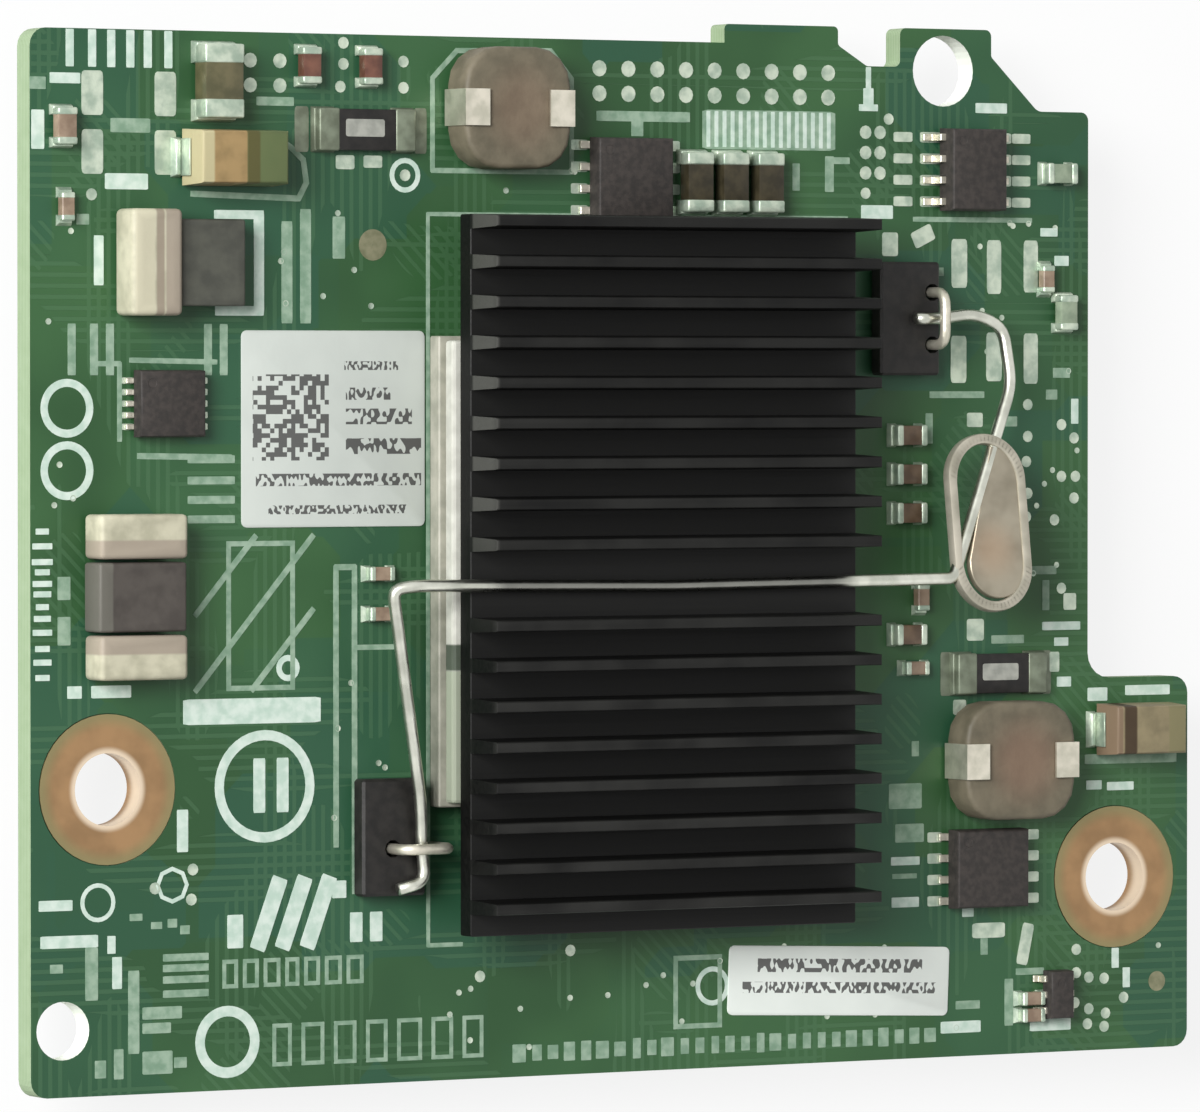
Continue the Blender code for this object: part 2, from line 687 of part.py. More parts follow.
# Two-terminal parts: a lofted bar whose end caps stand slightly proud
def two_terminal(name, size, u, v, finish, upright=False, rise=cap_step):
    length, width, height, cap = size
    stations = [(-length / 2, 0), (-length / 2 + cap, 0), (-length / 2 + cap, rise),
                (length / 2 - cap, rise), (length / 2 - cap, 0), (length / 2, 0)]
    bm = bmesh.new()
    rings = []
    for x, shrink in stations:
        half = width / 2 - shrink
        rings.append([bm.verts.new(p) for p in ((x, -half, shrink), (x, half, shrink),
                                                (x, half, height - shrink), (x, -half, height - shrink))])
    for a, b in zip(rings, rings[1:]):
        for k in range(4):
            bm.faces.new((a[k], a[(k + 1) % 4], b[(k + 1) % 4], b[k]))
    bm.faces.new(rings[0])
    bm.faces.new(rings[-1])
    obj = solid(name, bm, finish)
    if upright:
        obj.rotation_euler = Euler((0, 0, math.pi / 2))
    return place(obj, u, v, seat)


shunt_bottom_v = inductor_bottom_v + inductor_width / 2 + shunt_bottom_gap + shunt_size[1] / 2
two_terminal("shunt_top", shunt_size, heatsink_left - shunt_top_in, main_height - shunt_top_down,
             "black_plastic")
two_terminal("shunt_bottom", shunt_size, main_width - shunt_bottom_in, shunt_bottom_v,
             "black_plastic")
two_terminal("tantalum_left", large_tantalum_size, tantalum_left_in, main_height - tantalum_left_down,
             "amber")
two_terminal("tantalum_right", tantalum_size, board_width - tantalum_right_in, tantalum_right_up,
             "tan")
ceramic_first = power_top_u + power_body[0] / 2 + power_lead[1] + ceramic_top_gap + ceramic_size[1] / 2
for k, letter in enumerate("abc"):
    two_terminal("ceramic_top_" + letter, ceramic_size,
                 ceramic_first + k * (ceramic_size[1] + ceramic_top_spacing),
                 main_height - ceramic_top_down, "ceramic", upright=True)
two_terminal("ceramic_left", large_ceramic_size, ceramic_left_in, main_height - ceramic_left_down,
             "ceramic", upright=True)
for k, letter in enumerate("ab"):
    two_terminal("chip_cap_top_" + letter, chip_cap_size,
                 cap_row_in + k * (chip_cap_size[1] + cap_row_spacing),
                 main_height - cap_row_down, "ceramic_red", upright=True)
two_terminal("chip_cap_left", chip_cap_size, cap_left_in, main_height - cap_left_down,
             "ceramic", upright=True)
for letter, rise in zip("abcd", cap_side_rises):
    two_terminal("chip_cap_side_" + letter, chip_cap_size, heatsink_right + cap_side_out,
                 channel_v + rise, "ceramic")
two_terminal("chip_cap_corner", chip_cap_size, main_width - cap_corner_in,
             main_height - cap_corner_down, "ceramic")
two_terminal("chip_cap_edge", chip_cap_size, main_width - cap_edge_in,
             main_height - cap_edge_down, "ceramic", upright=True)

# Filter by the left edge: a dark body between two pale end blocks
filter_v = channel_v - filter_below_channel
cap_shift = filter_body_size[1] / 2 + fit_gap + filter_cap_size[1] / 2
place(box("filter_body", filter_body_size, "grey_body", 0.15e-3), filter_in, filter_v, seat)
place(box("filter_cap_upper", filter_cap_size, "beige", 0.2e-3), filter_in, filter_v + cap_shift, seat)
place(box("filter_cap_lower", filter_cap_size, "beige", 0.2e-3), filter_in, filter_v - cap_shift, seat)

# Choke in the upper left: a pale block beside a lower dark body
choke_v = main_height - choke_down
place(box("choke_cap", choke_cap_size, "beige", 0.3e-3, 2), choke_in, choke_v, seat)
place(box("choke_body", choke_body_size, "grey_body", 0.15e-3),
      choke_in + choke_cap_size[0] / 2 + fit_gap + choke_body_size[0] / 2, choke_v, seat)
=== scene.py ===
# %% [markdown]
# # An adapter card for a server, dressed round its CAD model
#
# The CAD model brings the board, the heatsink and every larger part at its real size.
# Here each surface gets its finish, and everything too fine for the solids is modelled:
# solder, leads, pads, plated holes, printed marks and labels. Lengths are written in
# millimetres, because that is how a board is laid out, and turned into metres once.

# %% Load the frame
import math
import random

import bpy
from mathutils import Matrix, Vector


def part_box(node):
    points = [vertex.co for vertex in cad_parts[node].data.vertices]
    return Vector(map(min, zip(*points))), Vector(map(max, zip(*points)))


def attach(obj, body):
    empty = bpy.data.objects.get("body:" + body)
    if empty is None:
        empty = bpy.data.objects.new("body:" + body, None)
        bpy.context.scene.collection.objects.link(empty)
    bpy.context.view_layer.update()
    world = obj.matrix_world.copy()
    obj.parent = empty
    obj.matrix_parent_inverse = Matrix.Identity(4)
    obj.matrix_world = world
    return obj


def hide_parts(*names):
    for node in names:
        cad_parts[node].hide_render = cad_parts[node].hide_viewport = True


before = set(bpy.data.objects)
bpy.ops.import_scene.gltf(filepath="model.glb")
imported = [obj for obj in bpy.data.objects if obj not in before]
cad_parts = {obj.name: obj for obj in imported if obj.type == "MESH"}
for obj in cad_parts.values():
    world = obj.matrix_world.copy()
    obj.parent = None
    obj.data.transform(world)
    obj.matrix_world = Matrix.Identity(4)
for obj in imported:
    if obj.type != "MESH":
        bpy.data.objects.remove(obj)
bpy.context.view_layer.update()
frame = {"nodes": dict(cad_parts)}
nodes = frame["nodes"]
MM = 0.001
board_low, board_high = [Vector(corner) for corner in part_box("circuit_board")]


def at(u, v, h=0.0):
    """A point u right and v up from the board's lower left corner, h above its face."""
    return Vector((board_low.x + u * MM, board_low.y + v * MM, board_high.z + h * MM))


# %% [markdown]
# ## Camera
#
# The photograph was taken with a long lens from the card's left, well above it. The three
# directions and the place below come from fitting a perspective to the board's corners,
# so the camera is set from a matrix and not aimed at a target.

# %% Camera
camera_data = bpy.data.cameras.new("camera")
camera_data.lens, camera_data.sensor_width = 259.2, 36.0
camera_data.clip_start, camera_data.clip_end = 0.01, 20.0
camera = bpy.data.objects.new("camera", camera_data)
bpy.context.collection.objects.link(camera)
right, up, back = (0.86605, 0, 0.49995), (0.01036, 0.99979, -0.01794), (-0.49985, 0.02071, 0.86587)
camera.matrix_world = (Matrix.Translation((-0.25285, 0.00990, 0.44044))
                       @ Matrix((right, up, back)).transposed().to_4x4())
bpy.context.scene.camera = camera
print("camera at", [round(v, 3) for v in camera.location])

# %% [markdown]
# ## Studio
#
# A small product is lit by large soft lamps and a bright room, so that black plastic keeps
# a faint sheen and no shadow is hard. The main lamp stands to the left, as the shadow beside
# the heatsink shows. The lamps give four fifths of the light and the room the rest,
# which lets a colour come out about as it is written.

# %% Lamps
scene = bpy.context.scene
scene.view_settings.view_transform = "Standard"


def lamp(name, place, size, watts):
    """A square soft lamp that faces the card."""
    data = bpy.data.lights.new(name, "AREA")
    data.size, data.energy = size, watts
    obj = bpy.data.objects.new(name, data)
    bpy.context.collection.objects.link(obj)
    obj.location = place
    obj.rotation_euler = (-Vector(place)).to_track_quat("-Z", "Y").to_euler()


lamp("key_lamp", (-0.62, 0.20, 0.50), 0.36, 9.0)
lamp("fill_lamp", (0.45, -0.45, 0.60), 0.60, 0.25)
print(len(bpy.data.lights), "lamps")

# %% [markdown]
# ## Patterns
#
# A finish is a sum of simple patterns: noise, stripes and distances from a place. Written
# out node by node that is hard to read, so a pattern is an object here that can be added,
# multiplied and compared like a number, and each such step adds the Math node it stands for.

# %% Patterns
def calculation(operation):
    """A method that puts one Math node behind two values."""
    return lambda self, other: self.maths(operation, self, other)


class Signal:
    """A value that changes over a surface. Calculating with it adds the Math nodes."""

    def __init__(self, nodes, socket):
        self.nodes, self.socket = nodes, socket

    def maths(self, operation, *values):
        return self.nodes.node("ShaderNodeMath", {"operation": operation},
                               dict(enumerate(values)))

    __add__ = __radd__ = calculation("ADD")
    __sub__ = calculation("SUBTRACT")
    __mul__ = __rmul__ = calculation("MULTIPLY")
    __truediv__ = calculation("DIVIDE")
    __mod__ = calculation("FLOORED_MODULO")
    __gt__ = calculation("GREATER_THAN")
    __lt__ = calculation("LESS_THAN")

    def __rsub__(self, other):
        return self.maths("SUBTRACT", other, self)

    def __abs__(self):
        return self.maths("ABSOLUTE", self)

    def between(self, low, high):
        return (self > low) * (self < high)

    def fade(self, low, high):
        """0 below low, 1 above high, smooth between them."""
        return self.nodes.node("ShaderNodeMapRange", {"interpolation_type": "SMOOTHSTEP"},
                               {"Value": self, "From Min": low, "From Max": high})


print("patterns can be added, multiplied, compared and repeated")

# %% [markdown]
# ## Finishes
#
# A finish is one material. Its class holds the few nodes that a maker of finishes needs:
# noise, a mix of two colours, the distance to a place and a relief. What is the same all
# over the surface is set straight on the shader's own socket.

# %% Finishes
class Nodes:
    """A node tree. A value is fed to a socket as a number, a colour or a pattern."""

    def __init__(self, tree):
        self.tree = tree

    def feed(self, socket, value):
        if isinstance(value, Signal):
            self.tree.links.new(value.socket, socket)
        else:
            socket.default_value = value

    def node(self, kind, settings=None, inputs=None, output=0):
        """Add a node: its settings first, then what its sockets hold."""
        node = self.tree.nodes.new(kind)
        for key, value in (settings or {}).items():
            setattr(node, key, value)
        for key, value in (inputs or {}).items():
            self.feed(node.inputs[key], value)
        return Signal(self, node.outputs[output])

    def seen_or_mirrored(self):
        """1 for what the camera or a glossy surface sees, 0 for the light on the card."""
        rays = [self.node("ShaderNodeLightPath", output=f"Is {kind} Ray")
                for kind in ("Camera", "Glossy")]
        return rays[0] + rays[1]


class Finish(Nodes):
    """A material being mixed."""

    def __init__(self, name, **constants):
        self.material = bpy.data.materials.new(name)
        self.material.use_nodes = True
        super().__init__(self.material.node_tree)
        self.shader = self.tree.nodes["Principled BSDF"]
        for socket, value in constants.items():
            self.feed(self.shader.inputs[socket.replace("_", " ")], value)

    def place(self):
        return self.node("ShaderNodeTexCoord", output="Object")

    def split(self, vector):
        """The three parts of a vector."""
        first = self.node("ShaderNodeSeparateXYZ", inputs={0: vector})
        return [Signal(self, first.socket.node.outputs[k]) for k in range(3)]

    def stretched(self, scale, shift=(0, 0, 0)):
        return self.node("ShaderNodeMapping", inputs={
            "Vector": self.place(), "Location": shift, "Scale": scale})

    def noise(self, scale, detail=2.0, vector=None):
        return self.node("ShaderNodeTexNoise", inputs={
            "Vector": vector or self.place(), "Scale": scale, "Detail": detail})

    def mix(self, factor, first, second):
        return self.node("ShaderNodeMix", {"data_type": "RGBA"},
                         {0: factor, 6: first, 7: second}, 2)

    def distance_to(self, point):
        return self.node("ShaderNodeVectorMath", {"operation": "DISTANCE"},
                         {0: self.place(), 1: point}, "Value")

    def colour(self, value):
        self.feed(self.shader.inputs["Base Color"], value)

    def roughness(self, value):
        self.feed(self.shader.inputs["Roughness"], value)

    def relief(self, height, depth):
        """Bump the surface by a height of 0 to 1, which stands for depth millimetres."""
        self.feed(self.shader.inputs["Normal"], self.node("ShaderNodeBump", inputs={
            "Height": height, "Distance": depth * MM, "Strength": 1.0}))


def screen(red, green, blue):
    """A screen colour from 0 to 255 as the linear numbers that a shader uses."""
    part = [c / 255 for c in (red, green, blue)]
    return (*[c / 12.92 if c < 0.04045 else ((c + 0.055) / 1.055) ** 2.4 for c in part], 1.0)


print("screen grey 128 is", round(screen(128, 128, 128)[0], 3), "as a linear number")

# %% [markdown]
# ## Floor and room
#
# The card lies on white paper without an end. The camera and glossy surfaces see plain
# white, so the background stays even, while the paper still takes the card's shadow.

# %% Floor and room
FLOOR_GLOW, ROOM_LEVEL = 0.86, 0.21
floor_finish = Finish("floor_paper", Roughness=0.9)
floor_finish.colour(screen(245, 246, 245))
glow = floor_finish.node("ShaderNodeEmission", inputs={"Color": (1, 1, 1, 1), "Strength": 1.0})
paper = Signal(floor_finish, floor_finish.shader.outputs[0])
blend = floor_finish.node("ShaderNodeMixShader", inputs={
    0: floor_finish.seen_or_mirrored() * FLOOR_GLOW, 1: paper, 2: glow})
floor_finish.feed(floor_finish.tree.nodes["Material Output"].inputs["Surface"], blend)
bpy.ops.object.select_all(action="DESELECT")
bpy.ops.mesh.primitive_plane_add(size=6.0, location=(0, 0, -0.0002))
floor = bpy.context.active_object
floor.name = "floor"
floor.data.materials.append(floor_finish.material)

scene.world = bpy.data.worlds.new("room")
scene.world.use_nodes = True
room = Nodes(scene.world.node_tree)
sky = room.tree.nodes["Background"]
room.feed(sky.inputs["Color"], (1, 1, 1, 1))
room.feed(sky.inputs["Strength"], room.seen_or_mirrored() * (1 - ROOM_LEVEL) + ROOM_LEVEL)
print("floor", floor.name, "and room", scene.world.name, "are ready")

# %% [markdown]
# ## The board's finish
#
# A board is glass laminate under a green lacquer, the solder mask. Copper areas and tracks
# under the mask show as slightly lighter and darker greens with hardly any height. Tracks
# run in bundles along the board's two directions, so bands from a repeated coordinate,
# let through only where a stretched noise says so, look like routed copper. Side faces are
# bare laminate, layered and dull, and the normal tells them from the mask. The walls of the
# two unplated holes are found by their distance from the hole's middle, and are white.

# %% Solder mask and laminate
mask = Finish("solder_mask", Specular_IOR_Level=0.4)
x, y, z = mask.split(mask.place())
facing = mask.split(mask.node("ShaderNodeNewGeometry", output="Normal"))[2]
pours = mask.node("ShaderNodeTexVoronoi", {"distance": "CHEBYCHEV"},
                  {"Vector": mask.place(), "Scale": 130.0, "Randomness": 0.9}, "Color")
TRACK_PITCH = 0.62 * MM


def tracks(along, across, seed, threshold):
    """Bundles of parallel tracks: 1 on a track, 0 off it."""
    stretch = (70, 260, 1) if along is x else (260, 70, 1)
    area = mask.noise(1.0, 0.0, mask.stretched(stretch, (seed, seed * 0.7, 0)))
    return ((across % TRACK_PITCH) < TRACK_PITCH * 0.42) * (area > threshold)


lengthwise, crosswise = tracks(x, y, 3.1, 0.56), tracks(y, x, 8.4, 0.57)
diagonal = (((x + y) % (0.9 * MM)) < 0.34 * MM) * (mask.noise(150.0, 0.0) > 0.66)
routed = lengthwise.maths("MAXIMUM", lengthwise, crosswise)
copper_under = routed.maths("MAXIMUM", routed, diagonal)
green = mask.mix(mask.noise(90.0).fade(0.35, 0.65), screen(36, 74, 39), screen(52, 92, 53))
green = mask.mix(mask.split(pours)[0].fade(0.2, 0.9) * 0.6, green, screen(34, 80, 62))
green = mask.mix(copper_under * 0.28, green, screen(80, 118, 84))
layers = ((z % (0.19 * MM)) < 0.06 * MM) * 0.5 + mask.noise(900.0, 1.0) * 0.4
edge = mask.mix(layers, screen(158, 176, 145), screen(120, 144, 104))
half_board = (board_low.z - board_high.z) / MM / 2
corner_hole, ear_hole = [mask.distance_to(at(u, v, half_board)) / MM < reach
                         for u, v, reach in ((2.0, 3.75, 1.95), (60.3, 58.6, 2.4))]
edge = mask.mix(corner_hole + ear_hole, edge, screen(236, 240, 230))
side = abs(facing) < 0.5
mask.colour(mask.mix(side, green, edge))
mask.roughness(0.40 + side * 0.3 + mask.noise(500.0) * 0.1)
mask.relief(copper_under * (1 - side) + mask.noise(1600.0, 1.0) * 0.3, 0.02)
print("solder mask uses", len(mask.tree.nodes), "nodes")

# %% [markdown]
# ## Metals
#
# Every finish pairs a colour that drifts a little with a roughness that drifts too, because
# an even surface is what makes a render look like plastic. Metals get a fine grain as well.
# The spring wire is one piece, but over the heatsink it mirrors the black fins and looks
# darker there, so its colour fades with the distance along it.

# %% Metals
def drift(finish, grain, dark, light):
    """A colour that drifts between two screen colours over a noise of that grain."""
    return finish.mix(finish.noise(grain, 3.0).fade(0.3, 0.7), screen(*dark), screen(*light))


def grained(name, dark, light, grain, rough, metal=0.0, depth=0.004, shine=0.5, tint=None):
    """A drifting finish. A tint is a function that gives the finish and its tone another tone."""
    finish = Finish(name, Metallic=metal, Specular_IOR_Level=shine)
    tone = drift(finish, grain, dark, light)
    finish.colour(tint(finish, tone) if tint else tone)
    finish.roughness(rough - 0.08 + finish.noise(grain * 2.3) * 0.16)
    finish.relief(finish.noise(grain * 4.0), depth)
    return finish


sink_low, sink_high = [Vector(corner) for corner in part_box("heatsink")]
sink_left, sink_right = sink_low.x / MM, sink_high.x / MM


def dark_over_sink(finish, tone):
    along = finish.split(finish.place())[0] / MM
    over = along.fade(sink_left, sink_left + 2) * (1 - along.fade(sink_right - 2.5, sink_right))
    return finish.mix(over * 0.85, tone, screen(108, 108, 104))


tin = grained("tin", (190, 187, 170), (222, 216, 200), 900, 0.38, 0.7, 0.02)
solder = grained("solder", (158, 176, 158), (202, 213, 194), 1200, 0.42, 0.5, 0.02)
dull_tin = grained("dull_tin", (98, 105, 88), (128, 137, 118), 1000, 0.45, 0.4)
steel = grained("spring_steel", (182, 184, 172), (214, 215, 203), 700, 0.30, 1.0,
                tint=dark_over_sink)
rim_metal = grained("grip_rim_metal", (160, 156, 140), (196, 190, 174), 500, 0.4, 0.5)
bare_copper = grained("bare_copper", (116, 118, 90), (142, 140, 112), 1500, 0.4, 0.5)
print("the wire is darker from", sink_left, "to", sink_right, "mm")

# %% [markdown]
# ## Copper rings
#
# The rings round the mounting holes are copper left bare, so they tarnish from the rim
# inwards and stay bright in the bore, where a screw rubs. One finish serves both rings, so
# it reads the distance to the nearer ring's middle.

# %% Copper rings
copper = Finish("tarnished_copper", Metallic=0.55)
centres = [(Vector(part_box(name)[0]) + Vector(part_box(name)[1])) / 2
           for name in ("hole_ring_left", "hole_ring_right")]
near = [copper.distance_to((c.x, c.y, board_high.z)) / MM for c in centres]
reach = near[0].maths("MINIMUM", *near)
tarnish = copper.noise(420.0, 3.0)
face = copper.mix(tarnish.fade(0.35, 0.65), screen(146, 115, 80), screen(166, 131, 92))
face = copper.mix(reach.fade(3.3, 4.2) * 0.8, face, screen(138, 132, 92))
copper.colour(copper.mix(reach.fade(2.5, 2.1), face, screen(226, 206, 180)))
copper.roughness(0.34 + tarnish * 0.2)
copper.relief(copper.noise(2500.0) + (reach % 0.22) * 0.9, 0.006)
print("ring middles in mm:", [[round(v / MM, 2) for v in c] for c in centres])

# %% [markdown]
# ## Black anodised aluminium
#
# The heatsink was pressed through a die, which leaves fine streaks along its fins. Lighter
# grey is painted on the fins' tips, stronger towards the bottom, and on the upper part of the
# cut ends at the left as painted highlights, and in a thin band on the channel floors as
# painted light.

# %% Black anodised aluminium
black = Finish("black_anodised", Metallic=0.2, Specular_IOR_Level=0.2)
streak = black.noise(1.0, 3.0, black.stretched((60, 4200, 4200)))
along, across, height = [part / MM for part in black.split(black.place())]
base_height = 1.2
sink_floor, fin_top = sink_low.z / MM + base_height, sink_high.z / MM
# Painted highlight on the fins' tips, in patches.
painted_tip_highlight = height.fade(fin_top - 0.62, fin_top - 0.02) * black.noise(240.0, 3.0).fade(0.2, 0.75)
# Painted light in a thin band along the floors of the channels.
painted_floor_light = height.fade(sink_floor - 0.12, sink_floor - 0.02) \
    * (1 - height.fade(sink_floor + 0.03, sink_floor + 0.28))
# Painted highlight on the upper part of the fins' cut ends at the left.
painted_end_highlight = (1 - along.fade(sink_left + 0.05, sink_left + 0.3)) * across.fade(-6, 4) \
    * height.fade(sink_floor + 0.08, sink_floor + 0.38)
shade = black.mix(streak.fade(0.3, 0.7), screen(6, 6, 6), screen(16, 16, 15))
shade = black.mix(painted_floor_light * 0.5, shade, screen(34, 34, 33))
shade = black.mix(painted_end_highlight * 0.8, shade, screen(84, 84, 80))
shade = black.mix(painted_tip_highlight * (1 - across.fade(-24, 22) * 0.5) * 0.75, shade, screen(48, 48, 46))
black.colour(shade)
black.roughness(0.40 + streak * 0.22)
black.relief(streak, 0.01)
print("fins from", round(sink_floor, 2), "to", round(fin_top, 2), "mm")

# %% [markdown]
# ## Mouldings, ceramics and inks
#
# Moulded epoxy gets a fine pepper and fired ceramics get soft clouds. Some parts carry
# stripes of another shade. Some show where they were dipped, marked or pressed, but the
# lid's darker lower part is painted shade and the choke block's brightest stripe is a
# painted highlight. A stripe is a fade up and a fade down along one axis, with soft ends
# like a printed one.

# %% Mouldings, ceramics and inks
epoxy = grained("moulded_epoxy", (46, 43, 41), (62, 57, 54), 2600, 0.58, 0.0, 0.012, 0.3)
black_plastic = grained("black_plastic", (24, 23, 22), (38, 36, 34), 1500, 0.5, shine=0.3)
plug_plastic = grained("plug_plastic", (30, 30, 31), (42, 42, 43), 1300, 0.45)
substrate = grained("substrate", (150, 150, 136), (176, 174, 160), 900, 0.5)
pad_rubber = grained("pad_rubber", (160, 160, 162), (176, 176, 178), 900, 0.85)
brown = grained("brown_ceramic", (82, 64, 48), (110, 90, 70), 1100, 0.38)
fawn = grained("fawn_ceramic", (128, 108, 90), (158, 138, 118), 1100, 0.4)
grey_green = grained("grey_ceramic", (126, 142, 120), (156, 170, 146), 1100, 0.4)
red_brown = grained("red_ceramic", (88, 54, 42), (120, 80, 64), 1100, 0.38)
olive = grained("olive_ceramic", (74, 72, 46), (102, 96, 68), 900, 0.4)
grey_body = grained("grey_body", (58, 59, 52), (76, 77, 68), 800, 0.55, 0.0, 0.01)
umber = grained("dark_ceramic", (44, 40, 28), (66, 60, 44), 1100, 0.4, shine=0.3)
ink = grained("white_ink", (188, 211, 196), (216, 230, 219), 1500, 0.6, 0.0, 0.006)
dim_ink = grained("thin_ink", (120, 150, 126), (154, 178, 156), 1500, 0.6, 0.0, 0.006)
grey_ink = grained("grey_print", (146, 148, 140), (172, 173, 164), 1500, 0.6)


def banded(name, base, axis, bands):
    """A ceramic or moulding with stripes across an axis: (from, to, colour), in millimetres."""
    finish = Finish(name, Specular_IOR_Level=0.35)
    colour = drift(finish, 900, *base)
    along = finish.split(finish.place())[axis] / MM
    for low, high, stripe in bands:
        inside = along.fade(low - 0.08, low + 0.08) * (1 - along.fade(high - 0.08, high + 0.08))
        colour = finish.mix(inside * 0.92, colour, screen(*stripe))
    finish.colour(colour)
    finish.roughness(0.5 + finish.noise(1800) * 0.12)
    finish.relief(finish.noise(2700), 0.008)
    return finish


def frame_mm(u=0.0, v=0.0):
    """Board coordinates as frame millimetres, for the stripes."""
    place = at(u, v)
    return place.x / MM, place.y / MM


# The lid is painted darker and greener below its break as painted shade, with a dark band at the
# break itself.
LID_BREAK = frame_mm(0, 24.4)[1]
lid = banded("lid_metal", ((190, 190, 180), (212, 212, 202)), 1,
             [(-40.0, LID_BREAK - 0.75, (150, 158, 138)),
              (LID_BREAK - 0.75, LID_BREAK + 0.75, (48, 62, 46))])
print(len(bpy.data.materials), "finishes mixed")

# %% [markdown]
# ## Picking faces and edges
#
# Almost every part on a board is a block that was moulded, cut or folded. So the helpers
# follow the hand: add a cube at its size and place, pick the faces or edges that lie some
# way, and shape them in edit mode. Everything is deselected first, because an operator acts
# on all that is selected. A finished piece has its place in its mesh.

# %% Cubes and selections
def only(*objects):
    """Select these objects and no others, with the first one active."""
    bpy.ops.object.select_all(action="DESELECT")
    for obj in reversed(objects):
        obj.select_set(True)
        bpy.context.view_layer.objects.active = obj


def cube(u, v, h, length, width, height):
    """A cube primitive standing at height h, centred on u, v."""
    only()
    bpy.ops.mesh.primitive_cube_add(size=1.0, location=at(u, v, h + height / 2),
                                    scale=(length * MM, width * MM, height * MM))
    bpy.ops.object.transform_apply(location=True, rotation=True, scale=True)
    return bpy.context.active_object


def leave():
    bpy.ops.object.mode_set(mode="OBJECT")


def select(obj, kind, test):
    """Enter edit mode with only the faces or edges selected that pass the test."""
    only(obj)
    bpy.ops.object.mode_set(mode="EDIT")
    bpy.ops.mesh.select_mode(type=kind)
    bpy.ops.mesh.select_all(action="DESELECT")
    leave()
    for part in obj.data.polygons if kind == "FACE" else obj.data.edges:
        part.select = bool(test(part))
    bpy.ops.object.mode_set(mode="EDIT")


def select_faces(obj, test=lambda face: True):
    select(obj, "FACE", test)


def select_edges(obj, test=lambda a, b: True):
    """The test gets the two ends of an edge."""
    select(obj, "EDGE", lambda edge: test(*[obj.data.vertices[k].co for k in edge.vertices]))


def top_of(obj):
    return max(v.co.z for v in obj.data.vertices)


print("blocks can be added, picked and left")

# %% [markdown]
# ## Bevel, taper, inset and extrude
#
# These are the four things that a mould, a saw or a press does to a block here: it rounds
# the edges, leans the walls so that the part leaves the mould, sinks a shallow field into
# the top, and draws a face out. Each helper picks its faces and leaves edit mode again.

# %% Shaping
def bevelled(obj, width, segments):
    """Bevel what is selected."""
    bpy.ops.mesh.bevel(offset=width * MM, segments=segments, affect="EDGES")
    leave()
    return obj


def bevel_all(obj, width, segments=2):
    select_faces(obj)
    return bevelled(obj, width, segments)


def bevel_uprights(obj, width, segments=2):
    select_edges(obj, lambda a, b: (a - b).xy.length < 1e-6)
    return bevelled(obj, width, segments)


def bevel_rim(obj, width, segments=2):
    """Round the edges round the top face."""
    top = top_of(obj)
    select_edges(obj, lambda a, b: min(a.z, b.z) > top - 1e-6)
    return bevelled(obj, width, segments)


def taper_top(obj, fx, fy):
    """Scale the top face about its own middle."""
    top = top_of(obj)
    middle = sum((v.co for v in obj.data.vertices), Vector()) / len(obj.data.vertices)
    select_faces(obj, lambda face: face.center.z > top - 1e-6)
    bpy.ops.transform.resize(value=(fx, fy, 1), center_override=(middle.x, middle.y, top))
    leave()
    return obj


def inset_top(obj, margin, depth):
    """Inset the top face and push it down by depth."""
    top = top_of(obj)
    select_faces(obj, lambda face: face.center.z > top - 1e-6 and face.normal.z > 0.9)
    bpy.ops.mesh.inset(thickness=margin * MM, depth=0)
    bpy.ops.transform.translate(value=(0, 0, -depth * MM))
    leave()
    return obj


def extrude(x, z):
    """Extrude the selected faces by so many millimetres along x and upwards."""
    bpy.ops.mesh.extrude_region_move(TRANSFORM_OT_translate={"value": (x * MM, 0, z * MM)})


def narrowed(factor_x, factor_y, centre):
    """Extrude the selected loop of edges and scale the new one, which gives a flat ring."""
    bpy.ops.mesh.extrude_edges_move()
    bpy.ops.transform.resize(value=(factor_x, factor_y, 1), center_override=centre)


def thickened(obj, height):
    """Extrude a flat shape upwards and turn its faces outwards."""
    bpy.ops.mesh.select_mode(type="FACE")
    bpy.ops.mesh.select_all(action="SELECT")
    extrude(0, height)
    bpy.ops.mesh.select_all(action="SELECT")
    bpy.ops.mesh.normals_make_consistent(inside=False)
    leave()
    return obj


print("bevel, taper, inset and extrude are ready")

# %% [markdown]
# ## Copies and finished pieces
#
# What repeats on the board is modelled once, at the board's corner, and copied with a
# matrix on the copy's own mesh. A finished piece gets a name and a finish, rides with the
# card, and hides the CAD solid that it stands for.

# %% Copies and finished pieces
def copied(obj, matrix):
    """A copy of obj with its own mesh, moved by a matrix."""
    twin = obj.copy()
    twin.data = obj.data.copy()
    twin.data.transform(matrix)
    bpy.context.collection.objects.link(twin)
    return twin


def row_of(obj, steps, pitch):
    """Copies up the board, so many pitches away."""
    return [copied(obj, Matrix.Translation((0, step * pitch * MM, 0))) for step in steps]


def placed(obj, u, v, degrees=0, size=(1, 1, 1), start=(0, 0)):
    """A copy scaled and turned about its start on the board, and moved to u, v."""
    return copied(obj, Matrix.Translation(at(u, v)) @ Matrix.Rotation(math.radians(degrees), 4, "Z")
                  @ Matrix.Diagonal((*size, 1)) @ Matrix.Translation(-at(*start)))


def joined(parts):
    """All parts as one object."""
    only(*parts)
    if len(parts) > 1:
        bpy.ops.object.join()
    return parts[0]


